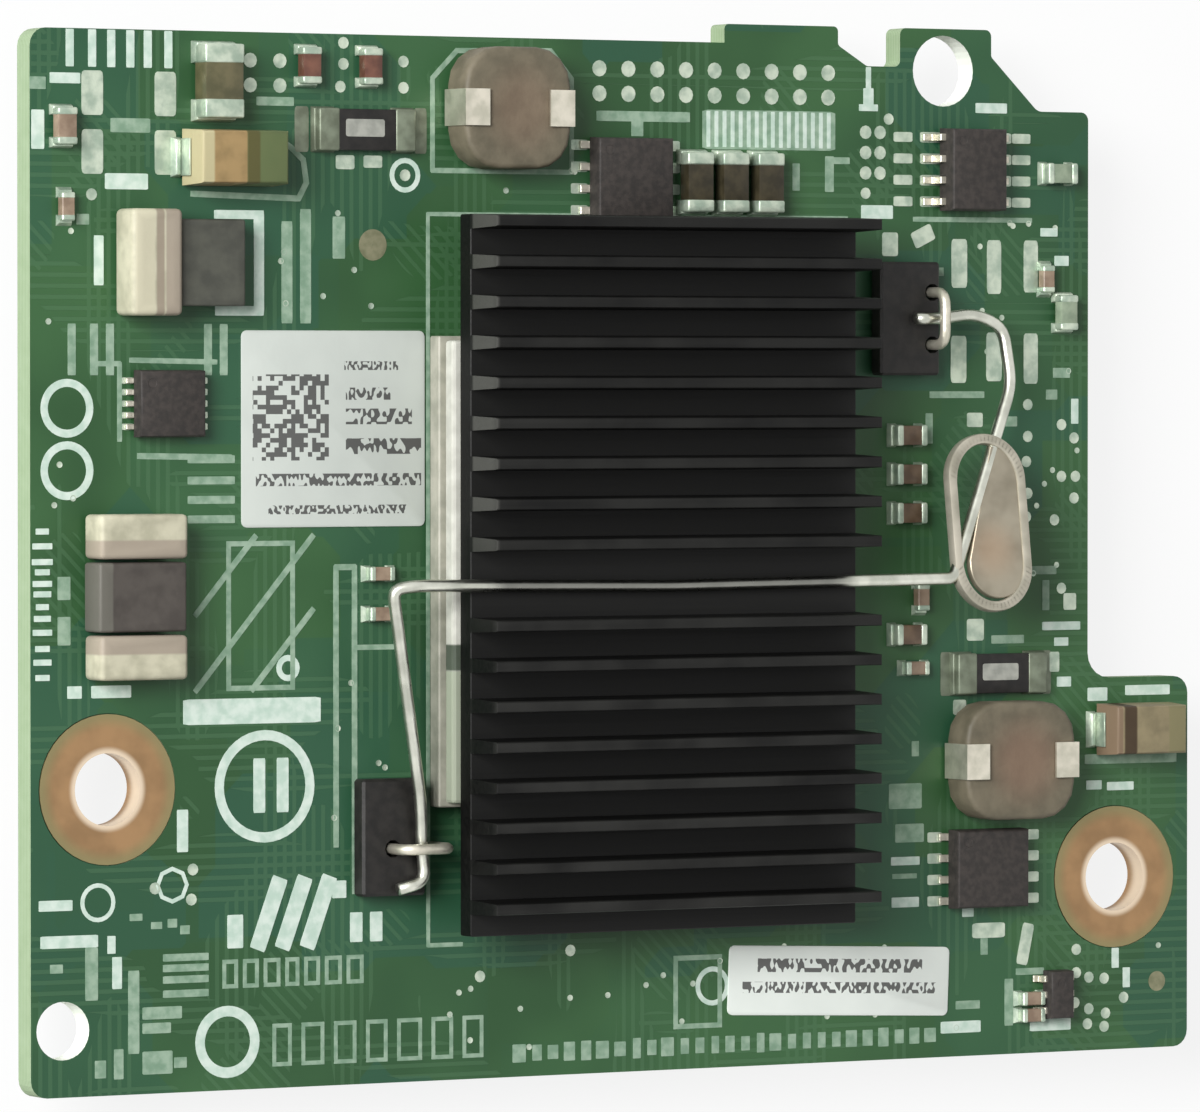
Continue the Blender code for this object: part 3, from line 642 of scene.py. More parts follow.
def settle(obj, name, finish, slot, *stands_for, smooth=None):
    """Name a finished piece, give it its finish, and let it ride with the card."""
    obj.name = obj.data.name = name
    obj.data.materials.clear()
    obj.data.materials.append(finish.material)
    if smooth:
        only(obj)
        bpy.ops.object.shade_smooth_by_angle(angle=math.radians(smooth))
    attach(obj, "root")
    if stands_for:
        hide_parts(*stands_for)
    print(name, len(obj.data.polygons), "faces")


print("pieces so far:", len(nodes), "solids of the CAD model")

# %% [markdown]
# ## Solids that keep their CAD shape
#
# The board, the plug, the chip under the heatsink, the anchors' feet and the sheet-metal
# clips already have the right shape, so they only get a finish. Round things come back
# from the CAD as flat facets. For those a copy is merged, smoothed by angle and shown in
# their place.

# %% Finish the CAD solids
keep = {"circuit_board": mask, "plug": plug_plastic, "chip_substrate": substrate,
        "chip_lid": lid, "thermal_pad": pad_rubber}
for side in ("left", "right"):
    keep["anchor_foot_" + side] = black_plastic
    for which in ("top", "bottom"):
        keep[f"inductor_{which}_clip_{side}"] = tin
for name, finish in keep.items():
    nodes[name].data.materials.clear()
    nodes[name].data.materials.append(finish.material)


def smooth_copy(node, name, finish, slot, angle=40):
    """A merged, smooth copy of a CAD solid, shown in its place."""
    twin = copied(nodes[node], Matrix())
    twin.parent = None
    twin.matrix_world = Matrix()
    select_faces(twin)
    bpy.ops.mesh.remove_doubles(threshold=1e-7)
    leave()
    settle(twin, name, finish, slot, node, smooth=angle)


for side in ("left", "right"):
    smooth_copy("hole_ring_" + side, "plated_ring_" + side, copper, "copper")
    smooth_copy("anchor_staple_" + side, "staple_wire_" + side, tin, "tin", 60)
smooth_copy("spring_clip", "clip_wire", steel, "steel_wire", 60)

# %% [markdown]
# ## Heatsink
#
# The heatsink is one black extrusion: a base plate with thin fins that get thinner towards
# their tips, and one fin left out for the spring wire. A sharp CAD fin catches no light, so
# one fin is modelled with a rounded tip and copied along the base at the CAD pitch.

# %% Heatsink
sink_u, sink_v = (sink_low.x - board_low.x) / MM, (sink_low.y - board_low.y) / MM
sink_width, sink_length = (sink_high.x - sink_low.x) / MM, (sink_high.y - sink_low.y) / MM
sink_h = (sink_low.z - board_high.z) / MM
fin_height, fin_foot, fin_tip, fin_pitch = 3.0, 0.85, 0.62, 2.303
first_fin, sunk, wire_gap, fin_count = 1.25, 0.1, 8, 18
middle_u = sink_u + sink_width / 2

base = cube(middle_u, sink_v + sink_length / 2, sink_h, sink_width, sink_length, base_height)
bevel_uprights(base, 0.12)
bevel_rim(base, 0.05, 1)
fin = cube(middle_u, sink_v + first_fin + fin_foot / 2, sink_h + base_height - sunk,
           sink_width, fin_foot, fin_height + sunk)
taper_top(fin, 0.9985, fin_tip / fin_foot)
bevel_rim(fin, 0.11)
fins = row_of(fin, [k for k in range(1, fin_count) if k != wire_gap], fin_pitch)
settle(joined([base, fin] + fins), "finned_heatsink", black, "black_anodised", "heatsink",
       smooth=30)

# %% [markdown]
# ## Finger grip
#
# The clip ends in a lever that a fingertip lifts: an oval wire rim and a flat tab inside it
# that leaves a gap along one side. The rim starts as a circle whose two halves are pulled
# apart, then its edge is extruded inwards and upwards. The tab is the same oval, filled and
# cut along the wire. Both are tilted with the clip's arm.

# %% Finger grip
grip_middle = sum((Vector(corner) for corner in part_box("clip_finger_grip")), Vector()) / 2
arm_rise, arm_length = -1.85, 12.67
tilt = math.asin(arm_rise / arm_length)
grip_straight, grip_round, rim_width, rim_height, tab_height = 2.6, 2.7, 0.62, 0.75, 0.45


def oval(radius, thickness, inner=0):
    """A flat oval plate, or a rim if inner is above zero, centred on the frame's origin."""
    only()
    bpy.ops.mesh.primitive_circle_add(vertices=56, radius=radius * MM, fill_type="NOTHING",
                                      location=(0, 0, 0), rotation=(0, 0, math.radians(3.2)))
    obj = bpy.context.active_object
    bpy.ops.object.transform_apply(rotation=True)
    for sign in (1, -1):
        select_edges(obj, lambda a, b: min(sign * a.y, sign * b.y) > 0)
        bpy.ops.transform.translate(value=(0, sign * grip_straight * MM, 0))
        leave()
    select_edges(obj)
    if inner:
        narrowed(inner / radius, (grip_straight + inner) / (grip_straight + radius), (0, 0, 0))
    else:
        bpy.ops.mesh.edge_face_add()
    return thickened(obj, thickness)


def tilted(obj, drop):
    obj.data.transform(Matrix.Translation(grip_middle - Vector((0, 0, drop * MM)))
                       @ Matrix.Rotation(tilt, 4, "X"))


def blushed(finish, tone):
    """Warmer round a place on the tab's lower half."""
    place = grip_middle + Vector((0.0, -1.6 * MM, 0.0))
    warm = 1 - (finish.distance_to(place) / MM).fade(0.4, 2.4)
    return finish.mix(warm * 0.5, tone, screen(176, 146, 118))


plate = grained("grip_plate", (132, 125, 108), (164, 156, 138), 380, 0.42, 0.45, tint=blushed)
rim = oval(grip_round, rim_height, grip_round - rim_width)
bevel_all(rim, 0.16)
tab = oval(grip_round - 0.78, tab_height)
tab.data.transform(Matrix.Translation((0.34 * MM, 0.05 * MM, 0)))
select_faces(tab)
bpy.ops.mesh.bisect(plane_co=(-0.92 * MM, 0, 0), plane_no=(-0.959, 0.285, 0), use_fill=True,
                    clear_outer=True)
bpy.ops.mesh.select_all(action="SELECT")
bpy.ops.mesh.remove_doubles(threshold=0.12 * MM)
leave()
bevel_rim(tab, 0.05, 1)
tilted(rim, 0.30)
tilted(tab, 0.12)
settle(rim, "grip_rim", rim_metal, "tan", smooth=40)
settle(tab, "grip_tab", plate, "tan", "clip_finger_grip", smooth=40)

# %% [markdown]
# ## Chips
#
# A small chip is epoxy moulded round its leads. The mould has to let go of it, so the upper
# half leans inwards, and its rim is rounded. A shallow round dish marks the first lead.
# Each lead starts as its foot and is extruded up and into the body, then copied.

# %% Chips and their leads
SEAT = 0.2  # height of the solder under a part


def chip(node, u, v, body, lead, pitch, count, gull):
    """A chip with two rows of leads. Gull wings stand out, other leads end under the body."""
    length, width, height = body
    lead_width, reach = lead
    case = cube(u, v, SEAT + 0.1, length, width, height)
    taper_top(case, 1 - 0.10 / length, 1 - 0.10 / width)
    bevel_rim(case, 0.14)
    bevel_uprights(case, 0.06, 1)
    only()
    bpy.ops.mesh.primitive_cylinder_add(
        vertices=24, radius=0.28 * MM, depth=0.04 * MM,
        location=at(u - length / 2 + 0.75, v + width / 2 - 0.75, SEAT + 0.1 + height))
    bpy.ops.object.transform_apply(location=True)
    dish = inset_top(bpy.context.active_object, 0.05, 0.035)
    settle(joined([case, dish]), node + "_case", epoxy, "chip_black", node, smooth=35)
    knee = length / 2 + (reach * 0.45 if gull else 0.02)
    toe = length / 2 + reach
    foot = cube(u + (knee + toe) / 2, v - (count - 1) / 2 * pitch, 0.03, toe - knee, lead_width,
                0.17)
    bends = [(-0.3, 0.12)]
    if gull:
        bends = [(-0.14, 0.1 + height * 0.45), (length / 2 - knee - 0.06, 0.0)]
    for bend in bends:
        left = min(p.co.x for p in foot.data.vertices)
        select_faces(foot, lambda face: face.center.x < left + 1e-6 and face.normal.x < -0.9)
        extrude(*bend)
        leave()
    bevel_all(foot, 0.03, 1)
    row = [foot] + row_of(foot, range(1, count), pitch)
    row += [placed(one, u, v, 180, start=(u, v)) for one in row]
    settle(joined(row), node + "_leads", tin, "tin", smooth=35)


chip("power_chip_top", 38.5, 52.0, (5.1, 4.7, 1.05), (0.45, 0.55), 1.27, 4, False)
chip("power_chip_bottom", 63.1, 11.2, (5.1, 4.7, 1.05), (0.45, 0.55), 1.27, 4, False)
chip("flash_chip", 61.85, 52.75, (3.9, 4.9, 1.45), (0.42, 1.05), 1.27, 4, True)
chip("logic_chip_left", 8.45, 38.95, (4.2, 3.8, 0.85), (0.30, 0.40), 0.65, 5, False)
chip("logic_chip_bottom", 68.1, 3.5, (1.7, 2.9, 0.95), (0.40, 0.60), 0.95, 3, True)

# %% [markdown]
# ## Capacitors and resistors
#
# A ceramic capacitor is a fired block whose two ends were dipped in metal and then soldered
# down. The dipped end wraps a little over the block, and the solder climbs it in a small
# slope. So each part gets a bevelled body, two rounded ends that stand slightly proud, and
# a tapered skirt of solder under each end.

# %% Two-ended parts
SKIRT = 0.22  # how far the solder runs out on the pad


def two_ended(node, u, v, size, stands=False, finish=brown, slot="ceramic", ends=solder):
    """Body, dipped ends and solder of one part. It lies along u, or along v if it stands."""
    length, width, height, cap = size

    def part(shift, long, wide, low, tall):
        if stands:
            return cube(u, v + shift, low, wide, long, tall)
        return cube(u + shift, v, low, long, wide, tall)

    body = part(0, length - cap, width - 0.1, SEAT + 0.05, height - 0.1)
    settle(bevel_all(body, 0.07), node + "_body", finish, slot, node, smooth=40)
    metal = []
    shrink = [1 - SKIRT * 1.1 / (cap + SKIRT), 1 - SKIRT * 1.1 / (width + SKIRT)]
    for end in (-1, 1):
        middle = end * (length - cap) / 2
        shell = bevel_all(part(middle, cap, width, SEAT - 0.1, height + 0.1), 0.13, 3)
        slope = part(middle + end * SKIRT * 0.45, cap + SKIRT * 0.9, width + SKIRT * 0.9, 0.0,
                     0.18 + height * 0.3)
        taper_top(slope, *(shrink[::-1] if stands else shrink))
        metal += [shell, bevel_all(slope, 0.05)]
    settle(joined(metal), node + "_ends", ends, "tin", smooth=40)


two_ended("ceramic_left", 11.45, 57.15, (4.2, 2.5, 1.5, 1.1), True, olive)
for letter, u in zip("abc", (42.9, 45.3, 47.7)):
    two_ended("ceramic_top_" + letter, u, 51.8, (3.5, 1.8, 1.1, 0.75), True, umber)
small = (2.1, 1.25, 0.85, 0.45)
for letter, u in zip("ab", (17.4, 21.35)):
    two_ended("chip_cap_top_" + letter, u, 58.15, small, True, red_brown, "ceramic_red")
two_ended("chip_cap_left", 1.9, 54.5, small, True, fawn)
for letter, v in zip("abcd", (25.2, 32.4, 34.7, 37.0)):
    two_ended("chip_cap_side_" + letter, 57.6, v, small)
two_ended("chip_cap_corner", 68.2, 52.6, small, False, grey_green)
two_ended("chip_cap_edge", 68.65, 44.3, small, True, grey_green)
for side, u, v in (("top", 21.1, 54.55), ("bottom", 64.1, 22.8)):
    two_ended("shunt_" + side, u, v, (6.3, 2.45, 0.6, 1.35), False, black_plastic,
              "black_plastic", dull_tin)
    mark = bevel_uprights(cube(u - 0.2, v + 0.1, SEAT + 0.58, 2.5, 1.0, 0.04), 0.12)
    settle(mark, "shunt_print_" + side, grey_ink, "black_plastic")

# %% [markdown]
# ## Tantalum capacitors
#
# These are moulded blocks with a stripe at one end. The mould leans the walls both ways
# from its parting line, and a flat metal tab comes out at each end at half height and is
# folded down. Scaling the top face gives the lean, and each tab is a thin plate that stands
# in a tapered skirt of solder.

# %% Tantalum capacitors
def tantalum(node, u, v, length, width, height, finish, slot):
    body = cube(u, v, SEAT + 0.05, length - 0.3, width, height - 0.05)
    taper_top(body, 1 - 0.24 / length, 1 - 0.24 / width)
    bevel_uprights(body, 0.1)
    bevel_rim(body, 0.16, 3)
    settle(body, node + "_moulding", finish, slot, node, smooth=40)
    tabs = []
    for end in (-1, 1):
        tab = cube(u + end * (length / 2 - 0.1), v, 0.03, 0.12, width * 0.66, height * 0.55)
        skirt = cube(u + end * (length / 2 + 0.15), v, 0.0, 0.7, width * 0.72, 0.42)
        taper_top(skirt, 0.35, 0.86)
        tabs += [bevel_all(tab, 0.02, 1), bevel_all(skirt, 0.05)]
    settle(joined(tabs), node + "_tabs", solder, "tin", smooth=40)


left_x = frame_mm(12.3)[0]
amber = banded("amber_moulding", ((140, 118, 80), (162, 136, 94)), 0,
               [(left_x - 3.2, left_x - 2.0, (186, 178, 140)),
                (left_x + 0.1, left_x + 2.7, (88, 106, 68)),
                (left_x + 0.1, left_x + 0.9, (84, 80, 44))])
right_x = frame_mm(73.7)[0]
tan = banded("tan_moulding", ((126, 116, 90), (148, 136, 106)), 0,
             [(right_x - 2.9, right_x - 2.1, (126, 106, 86)),
              (right_x - 2.0, right_x - 1.1, (48, 32, 16)),
              (right_x + 1.2, right_x + 2.7, (134, 128, 94))])
tantalum("tantalum_left", 12.3, 52.85, 6.0, 3.2, 2.4, amber, "amber")
tantalum("tantalum_right", 73.7, 19.3, 5.5, 3.1, 2.2, tan, "tan")

# %% [markdown]
# ## Inductors
#
# Each inductor is an unglazed ferrite block with cut corners, held by a metal clip at each
# end. Cutting the corners is one bevel of the four upright edges, and the ring pressed into
# its top is an inset pushed down a little. Its ends stay just inside the clips.

# %% Inductors
def inductor(node, u, v, length, width, warm):
    finish = Finish(node + "_ferrite")
    reach = finish.distance_to(at(u + 0.3, v, 2.6)) / MM
    cloud = finish.noise(700.0, 3.0)
    outer = finish.mix(cloud.fade(0.3, 0.7), screen(92, 86, 70), screen(114, 106, 88))
    finish.colour(finish.mix((1 - reach.fade(0.8, 3.4)) * warm, outer, screen(130, 104, 86)))
    finish.roughness(0.52 + cloud * 0.2)
    finish.relief(finish.noise(2400.0, 3.0), 0.03)
    core = cube(u, v, SEAT + 0.2, length - 0.24, width, 2.12)
    bevel_uprights(core, 2.2, 4)
    bevel_rim(core, 0.3, 3)
    inset_top(core, 0.55, 0.05)
    settle(core, node + "_body", finish, "ferrite", node, smooth=30)


inductor("inductor_top_core", 30.0, 55.9, 7.2, 7.0, 0.35)
inductor("inductor_bottom_core", 64.3, 17.65, 7.9, 7.0, 0.65)

# %% [markdown]
# ## Filter and choke
#
# Both are pale ceramic blocks against a darker body, with softly rounded edges and a shallow
# recess on top. The stripes on the pale blocks lie along different axes, as the blocks do.

# %% Filter and choke
def ceramic_block(node, u, v, size, finish, slot, rim, margin, depth):
    block = bevel_all(cube(u, v, SEAT, *size), rim, 3)
    inset_top(block, margin, depth)
    settle(block, node + "_block", finish, slot, node, smooth=35)


pale, pink = ((176, 173, 150), (202, 198, 174)), (162, 150, 135)
filter_x, filter_y = frame_mm(6.0, 28.1)
beige = banded("pale_ceramic", pale, 1, [(filter_y + 1.9, filter_y + 3.2, pink),
                                         (filter_y - 3.2, filter_y - 1.9, pink)])
filter_dark = banded("filter_moulding", ((66, 61, 57), (80, 75, 70)), 0,
                     [(filter_x - 2.9, filter_x - 1.9, (102, 100, 92))])
# The first, bright cream stripe on the choke's pale block is a painted highlight; the tan and pink
# stripes after it are darker bands along the block.
cap_x = frame_mm(6.8)[0]
choke_finish = banded("choke_ceramic", pale, 0, [(cap_x - 1.4, cap_x - 0.2, (202, 197, 172)),
                                                 (cap_x - 0.1, cap_x + 0.4, (150, 138, 122)),
                                                 (cap_x + 0.5, cap_x + 1.7, pink)])
ceramic_block("filter_body", 6.0, 28.1, (5.5, 3.9, 2.0), filter_dark, "grey_body", 0.18, 0.5, 0.04)
for node, v in (("filter_cap_upper", 31.5), ("filter_cap_lower", 24.7)):
    ceramic_block(node, 6.0, v, (5.5, 2.5, 2.2), beige, "beige", 0.28, 0.45, 0.03)
ceramic_block("choke_cap", 6.8, 46.9, (3.2, 6.0, 2.3), choke_finish, "beige", 0.32, 0.4, 0.03)
ceramic_block("choke_body", 10.65, 46.9, (4.1, 4.9, 1.6), grey_body, "grey_body", 0.16, 0.45, 0.05)

# %% [markdown]
# ## Small parts without a CAD solid
#
# A few chip capacitors and resistors are so small that the CAD model leaves them out. One is
# modelled, with its ends and its solder, and copied to each place and turned where needed.

# %% Smallest capacitors
tiny_body = bevel_all(cube(0, 0, 0.08, 1.1, 0.78, 0.62), 0.05, 1)
tiny_ends = []
for end in (-1, 1):
    tiny_ends.append(bevel_all(cube(end * 0.62, 0, 0.05, 0.36, 0.82, 0.68), 0.07, 1))
    tiny_ends.append(taper_top(cube(end * 0.78, 0, 0.0, 0.62, 0.95, 0.3), 0.45, 0.8))
tiny_places = [(22.1, 29.2, 0), (22.1, 26.9, 0), (58.6, 27.4, 90), (58.2, 23.2, 0),
               (67.4, 46.3, 90), (2.1, 50.0, 90), (66.4, 3.3, 0), (66.4, 2.3, 0)]
for source, name, finish, slot in ((tiny_body, "tiny_part_bodies", fawn, "ceramic"),
                                   (joined(tiny_ends), "tiny_part_ends", solder, "tin")):
    settle(joined([placed(source, *place) for place in tiny_places]), name, finish, slot)
    bpy.data.objects.remove(source)

# %% [markdown]
# ## Pads and plated holes
#
# Wherever copper is left bare it is tinned, and shows as a bright low plate. A plated hole is
# a ring with a dip in it. One pad and one hole are modelled, the pad as a low block with
# rounded corners, the hole as a twelve-sided disc with an inset pushed down, and both are
# copied to their places.

# %% Pads and plated holes
pad = bevel_uprights(cube(0, 0, -0.02, 1.0, 1.0, 0.055), 0.12)


def plates(source, places, lift=0.0):
    """Copies of a one-millimetre plate at (u, v, length, width, turn) places, joined.

    Each is a little higher than the last, so that no two crossing tops coincide. A lift puts
    the whole lot above another one.
    """
    return joined([placed(source, u, v, turn[0] if turn else 0,
                          (length, width, 1 + lift + 0.06 * (k % 7)))
                   for k, (u, v, length, width, *turn) in enumerate(places)])


flash_rows = (50.85, 52.12, 53.39, 54.66)
power_rows = (9.3, 10.57, 11.84, 13.1)
pad_places = [(61.45, 47.2, 1.1, 2.9), (63.9, 47.0, 1.0, 3.2), (66.5, 47.05, 1.0, 3.1),
              (61.4, 41.5, 1.1, 2.8), (63.9, 41.65, 1.1, 2.9), (66.5, 41.55, 1.0, 3.0)]
pad_places += [(u, v, 1.3, 0.58) for u in (57.5, 65.8) for v in flash_rows]
pad_places += [(u, v, 1.5, 0.62) for u in (59.45, 64.35) for v in flash_rows]
pad_places += [(u, v, 1.35, 2.5) for u in (3.9, 8.5) for v in (56.4, 53.1)]
pad_places += [(u, v, 1.0, 0.6) for u in (59.75, 66.6) for v in power_rows]
pad_places += [(u, v, 1.1, 0.6) for u in (35.4, 41.6) for v in (50.1, 51.37, 52.63, 53.9)]
pad_places += [(u, 38.95 + k * 0.65, 0.7, 0.36) for u in (6.1, 10.8) for k in (-2, -1, 0, 1, 2)]
pad_places += [(62.6, 25.4, 1.2, 1.3), (61.5, 20.8, 0.9, 0.9),
               (62.55, 37.9, 1.1, 0.85), (63.55, 7.45, 2.3, 0.9), (66.15, 6.55, 0.8, 2.5, -12),
               (56.6, 48.3, 1.1, 1.4), (58.9, 48.8, 1.5, 1.0, 25), (69.3, 27.0, 0.9, 1.0),
               (20.0, 52.7, 1.2, 0.8), (21.8, 52.75, 1.2, 0.7), (68.2, 23.4, 0.7, 1.2)]
settle(plates(pad, pad_places), "solder_pads", solder, "tin")
shunt_pads = [(17.2, 54.55, 0.9, 2.6), (24.9, 54.55, 0.8, 2.6), (60.5, 22.8, 0.7, 2.6),
              (67.6, 22.8, 0.7, 2.6)]
settle(plates(pad, shunt_pads), "shunt_pads", dull_tin, "tin")

# %% Plated holes
only()
bpy.ops.mesh.primitive_cylinder_add(vertices=12, radius=0.5 * MM, depth=0.06 * MM,
                                    location=at(0, 0))
bpy.ops.object.transform_apply(location=True)
hole = inset_top(bpy.context.active_object, 0.24, 0.018)
places = [(36.75 + 1.944 * n, v, 0.95, 0.95) for n in range(9) for v in (58.35, 56.9)]
places += [(u, v, 0.85, 0.85) for u in (13.9, 15.8) for v in (58.4, 57.0)]
places += [(u, v, 0.8, 0.8) for u in (54.9, 55.9) for v in (52.5, 53.7, 54.9)]
single_holes = [(19.7, 57.0), (19.9, 58.3), (19.9, 59.5), (23.8, 58.5), (23.8, 57.0), (54.9, 51.3),
                (56.5, 55.7), (3.85, 50.7), (10.2, 12.6), (7.8, 11.6), (10.1, 10.9),
                (69.8, 6.1), (69.8, 4.7), (70.7, 4.4), (71.8, 4.3), (69.7, 2.9), (70.7, 2.5),
                (71.9, 2.2), (73.2, 3.1), (70.6, 1.6), (71.8, 1.4), (68.7, 37.6), (69.6, 36.8),
                (66.3, 38.8), (66.3, 36.9), (66.2, 35.4), (66.3, 33.5), (66.2, 32.1),
                (68.7, 34.5), (69.7, 34.5), (69.6, 33.2), (68.2, 31.9), (68.7, 27.8),
                (23.9, 52.0), (34.8, 7.2), (28.8, 5.9)]
places += [(u, v, 0.68, 0.68) for u, v in single_holes]
random.seed(7)
free_areas = [(15.5, 44, 25, 51), (0.8, 42, 3.6, 49), (11, 31.9, 13, 36), (18.3, 14, 25, 25),
              (26, 1, 62, 7), (62.5, 39, 69.5, 51), (66, 25, 70, 41), (73, 6, 77, 9),
              (27, 50, 36, 53), (1, 33, 9, 37), (70.8, 13.5, 77, 17)]
for low_u, low_v, high_u, high_v in free_areas:
    for _ in range(int((high_u - low_u) * (high_v - low_v) / 9)):
        places.append((random.uniform(low_u, high_u), random.uniform(low_v, high_v), 0.36, 0.36))
settle(plates(hole, places), "plated_holes", solder, "tin")

# %% [markdown]
# ## Printed marks
#
# The white print is a thin raised ink, in outlines of parts, frames round chips, bars,
# blocks and rings. One rounded bar is modelled and copied for all straight strokes.

# %% Straight strokes
stroke = bevel_uprights(cube(0, 0, -0.01, 1.0, 1.0, 0.03), 0.04, 1)


def box_outline(u0, v0, u1, v1, w=0.22):
    """Four strokes round a rectangle."""
    return [((u0 + u1) / 2, v0, u1 - u0 + w, w), ((u0 + u1) / 2, v1, u1 - u0 + w, w),
            (u0, (v0 + v1) / 2, w, v1 - v0 + w), (u1, (v0 + v1) / 2, w, v1 - v0 + w)]


def span(u0, v0, u1, v1, w=0.25):
    """One stroke from point to point."""
    return [((u0 + u1) / 2, (v0 + v1) / 2, math.hypot(u1 - u0, v1 - v0) + w * 0.6, w,
             math.degrees(math.atan2(v1 - v0, u1 - u0)))]


bold = [(2.75, 22.75, 0.9, 0.7), (5.05, 22.75, 2.5, 0.7), (14.0, 21.5, 8.8, 1.45),
        (9.55, 14.8, 0.7, 2.4), (13.15, 49.65, 3.1, 0.5), (14.45, 46.95, 0.65, 5.9),
        (13.2, 44.2, 3.1, 0.55), (4.3, 47.0, 0.6, 2.8), (6.05, 51.45, 2.7, 0.9),
        (1.55, 10.8, 2.1, 0.6), (2.4, 8.75, 3.6, 0.7), (5.05, 8.5, 0.5, 1.0),
        (5.4, 6.9, 0.6, 1.8), (2.2, 57.2, 1.9, 0.6), (0.5, 54.3, 0.8, 2.2),
        (55.1, 56.9, 0.7, 1.2), (55.1, 58.1, 0.35, 1.3), (55.1, 56.35, 1.3, 0.4),
        (63.7, 56.45, 2.2, 0.6), (67.8, 49.1, 1.2, 0.5), (68.7, 47.4, 1.0, 0.6),
        (55.7, 50.2, 2.2, 0.8), (68.7, 25.55, 2.7, 0.5), (68.7, 24.6, 1.0, 0.5),
        (71.3, 21.4, 1.4, 0.8), (74.9, 21.6, 3.2, 0.6), (71.05, 15.95, 1.1, 0.55),
        (72.95, 15.85, 1.9, 0.5), (57.7, 11.75, 2.0, 0.5), (57.7, 9.3, 1.9, 0.6),
        (62.1, 8.55, 0.8, 0.5), (61.6, 1.75, 2.8, 0.7), (67.95, 1.65, 2.9, 0.7),
        (69.65, 38.4, 0.5, 1.5), (68.9, 22.2, 1.0, 0.6), (72.6, 5.5, 0.5, 1.2),
        (73.4, 4.3, 0.5, 1.2)]
bold += [(u, 58.9, 0.5, 2.1) for u in (2.5, 3.9, 5.1, 6.3, 7.4, 8.7)]
bold += [(u, 17.25, 0.75, 3.1) for u in (14.45, 15.95)]
for u in (14.4, 16.0, 17.6):
    bold += span(u, 8.2, u + 1.3, 11.7, 1.0)
bold += [(12.9, 9.0, 1.0, 1.9), (20.7, 9.0, 0.8, 1.7), (22.0, 9.0, 0.8, 1.7),
         (19.6, 11.2, 0.9, 1.0)]
bold += [(44.1 + 0.55 * k, 54.95, 0.26, 2.1) for k in range(16)]
random.seed(21)
strip_v = 23.6
while strip_v < 31.9:
    bold.append((0.75, strip_v, random.uniform(0.8, 1.3), 0.34))
    strip_v += random.uniform(0.55, 1.0)
settle(plates(stroke, bold, 0.45), "bold_print", ink, "board")

# %% [markdown]
# ## Thin strokes
#
# Outlines of parts and frames round them are thinner and older looking print, in a dimmer
# ink. An outline is a chain of strokes from point to point. The rows along the lower edge
# are small frames and blocks whose widths vary a little.

# %% Thin strokes
def chain(width, *points):
    """Strokes from point to point."""
    strokes = []
    for a, b in zip(points, points[1:]):
        strokes += span(*a, *b, width)
    return strokes


fine = chain(0.25, (27.6, 7.8), (25.4, 7.8), (25.4, 49.8), (53.6, 49.8))
fine += chain(0.3, (34.9, 52.3), (25.7, 52.3), (25.7, 57.6), (27.3, 59.2), (33.5, 59.3),
              (34.9, 57.7), (34.9, 52.3))
fine += chain(0.35, (9.8, 54.3), (15.5, 54.1), (16.5, 53.5), (17.3, 52.8), (17.5, 51.5),
              (17.0, 50.6), (10.2, 50.8))
fine += chain(0.3, (6.3, 41.4), (11.7, 41.3)) + chain(0.3, (3.9, 41.2), (5.6, 41.2), (5.6, 36.9))
fine += chain(0.35, (6.8, 36.0), (12.6, 35.9)) + chain(0.3, (58.3, 49.8), (66.5, 49.8))
fine += chain(0.35, (19.4, 13.7), (19.4, 29.6), (20.6, 29.6), (20.6, 11.0))
fine += chain(0.3, (20.6, 25.0), (23.3, 25.0)) + chain(0.4, (59.5, 39.4), (63.1, 39.4))
fine += [(u, 42.0, 0.5, 2.9) for u in (2.6, 4.0, 5.0, 11.2, 12.2)]
fine += [(11.4, v, 3.0, 0.45) for v in (35.8, 34.6, 33.5, 32.4)]
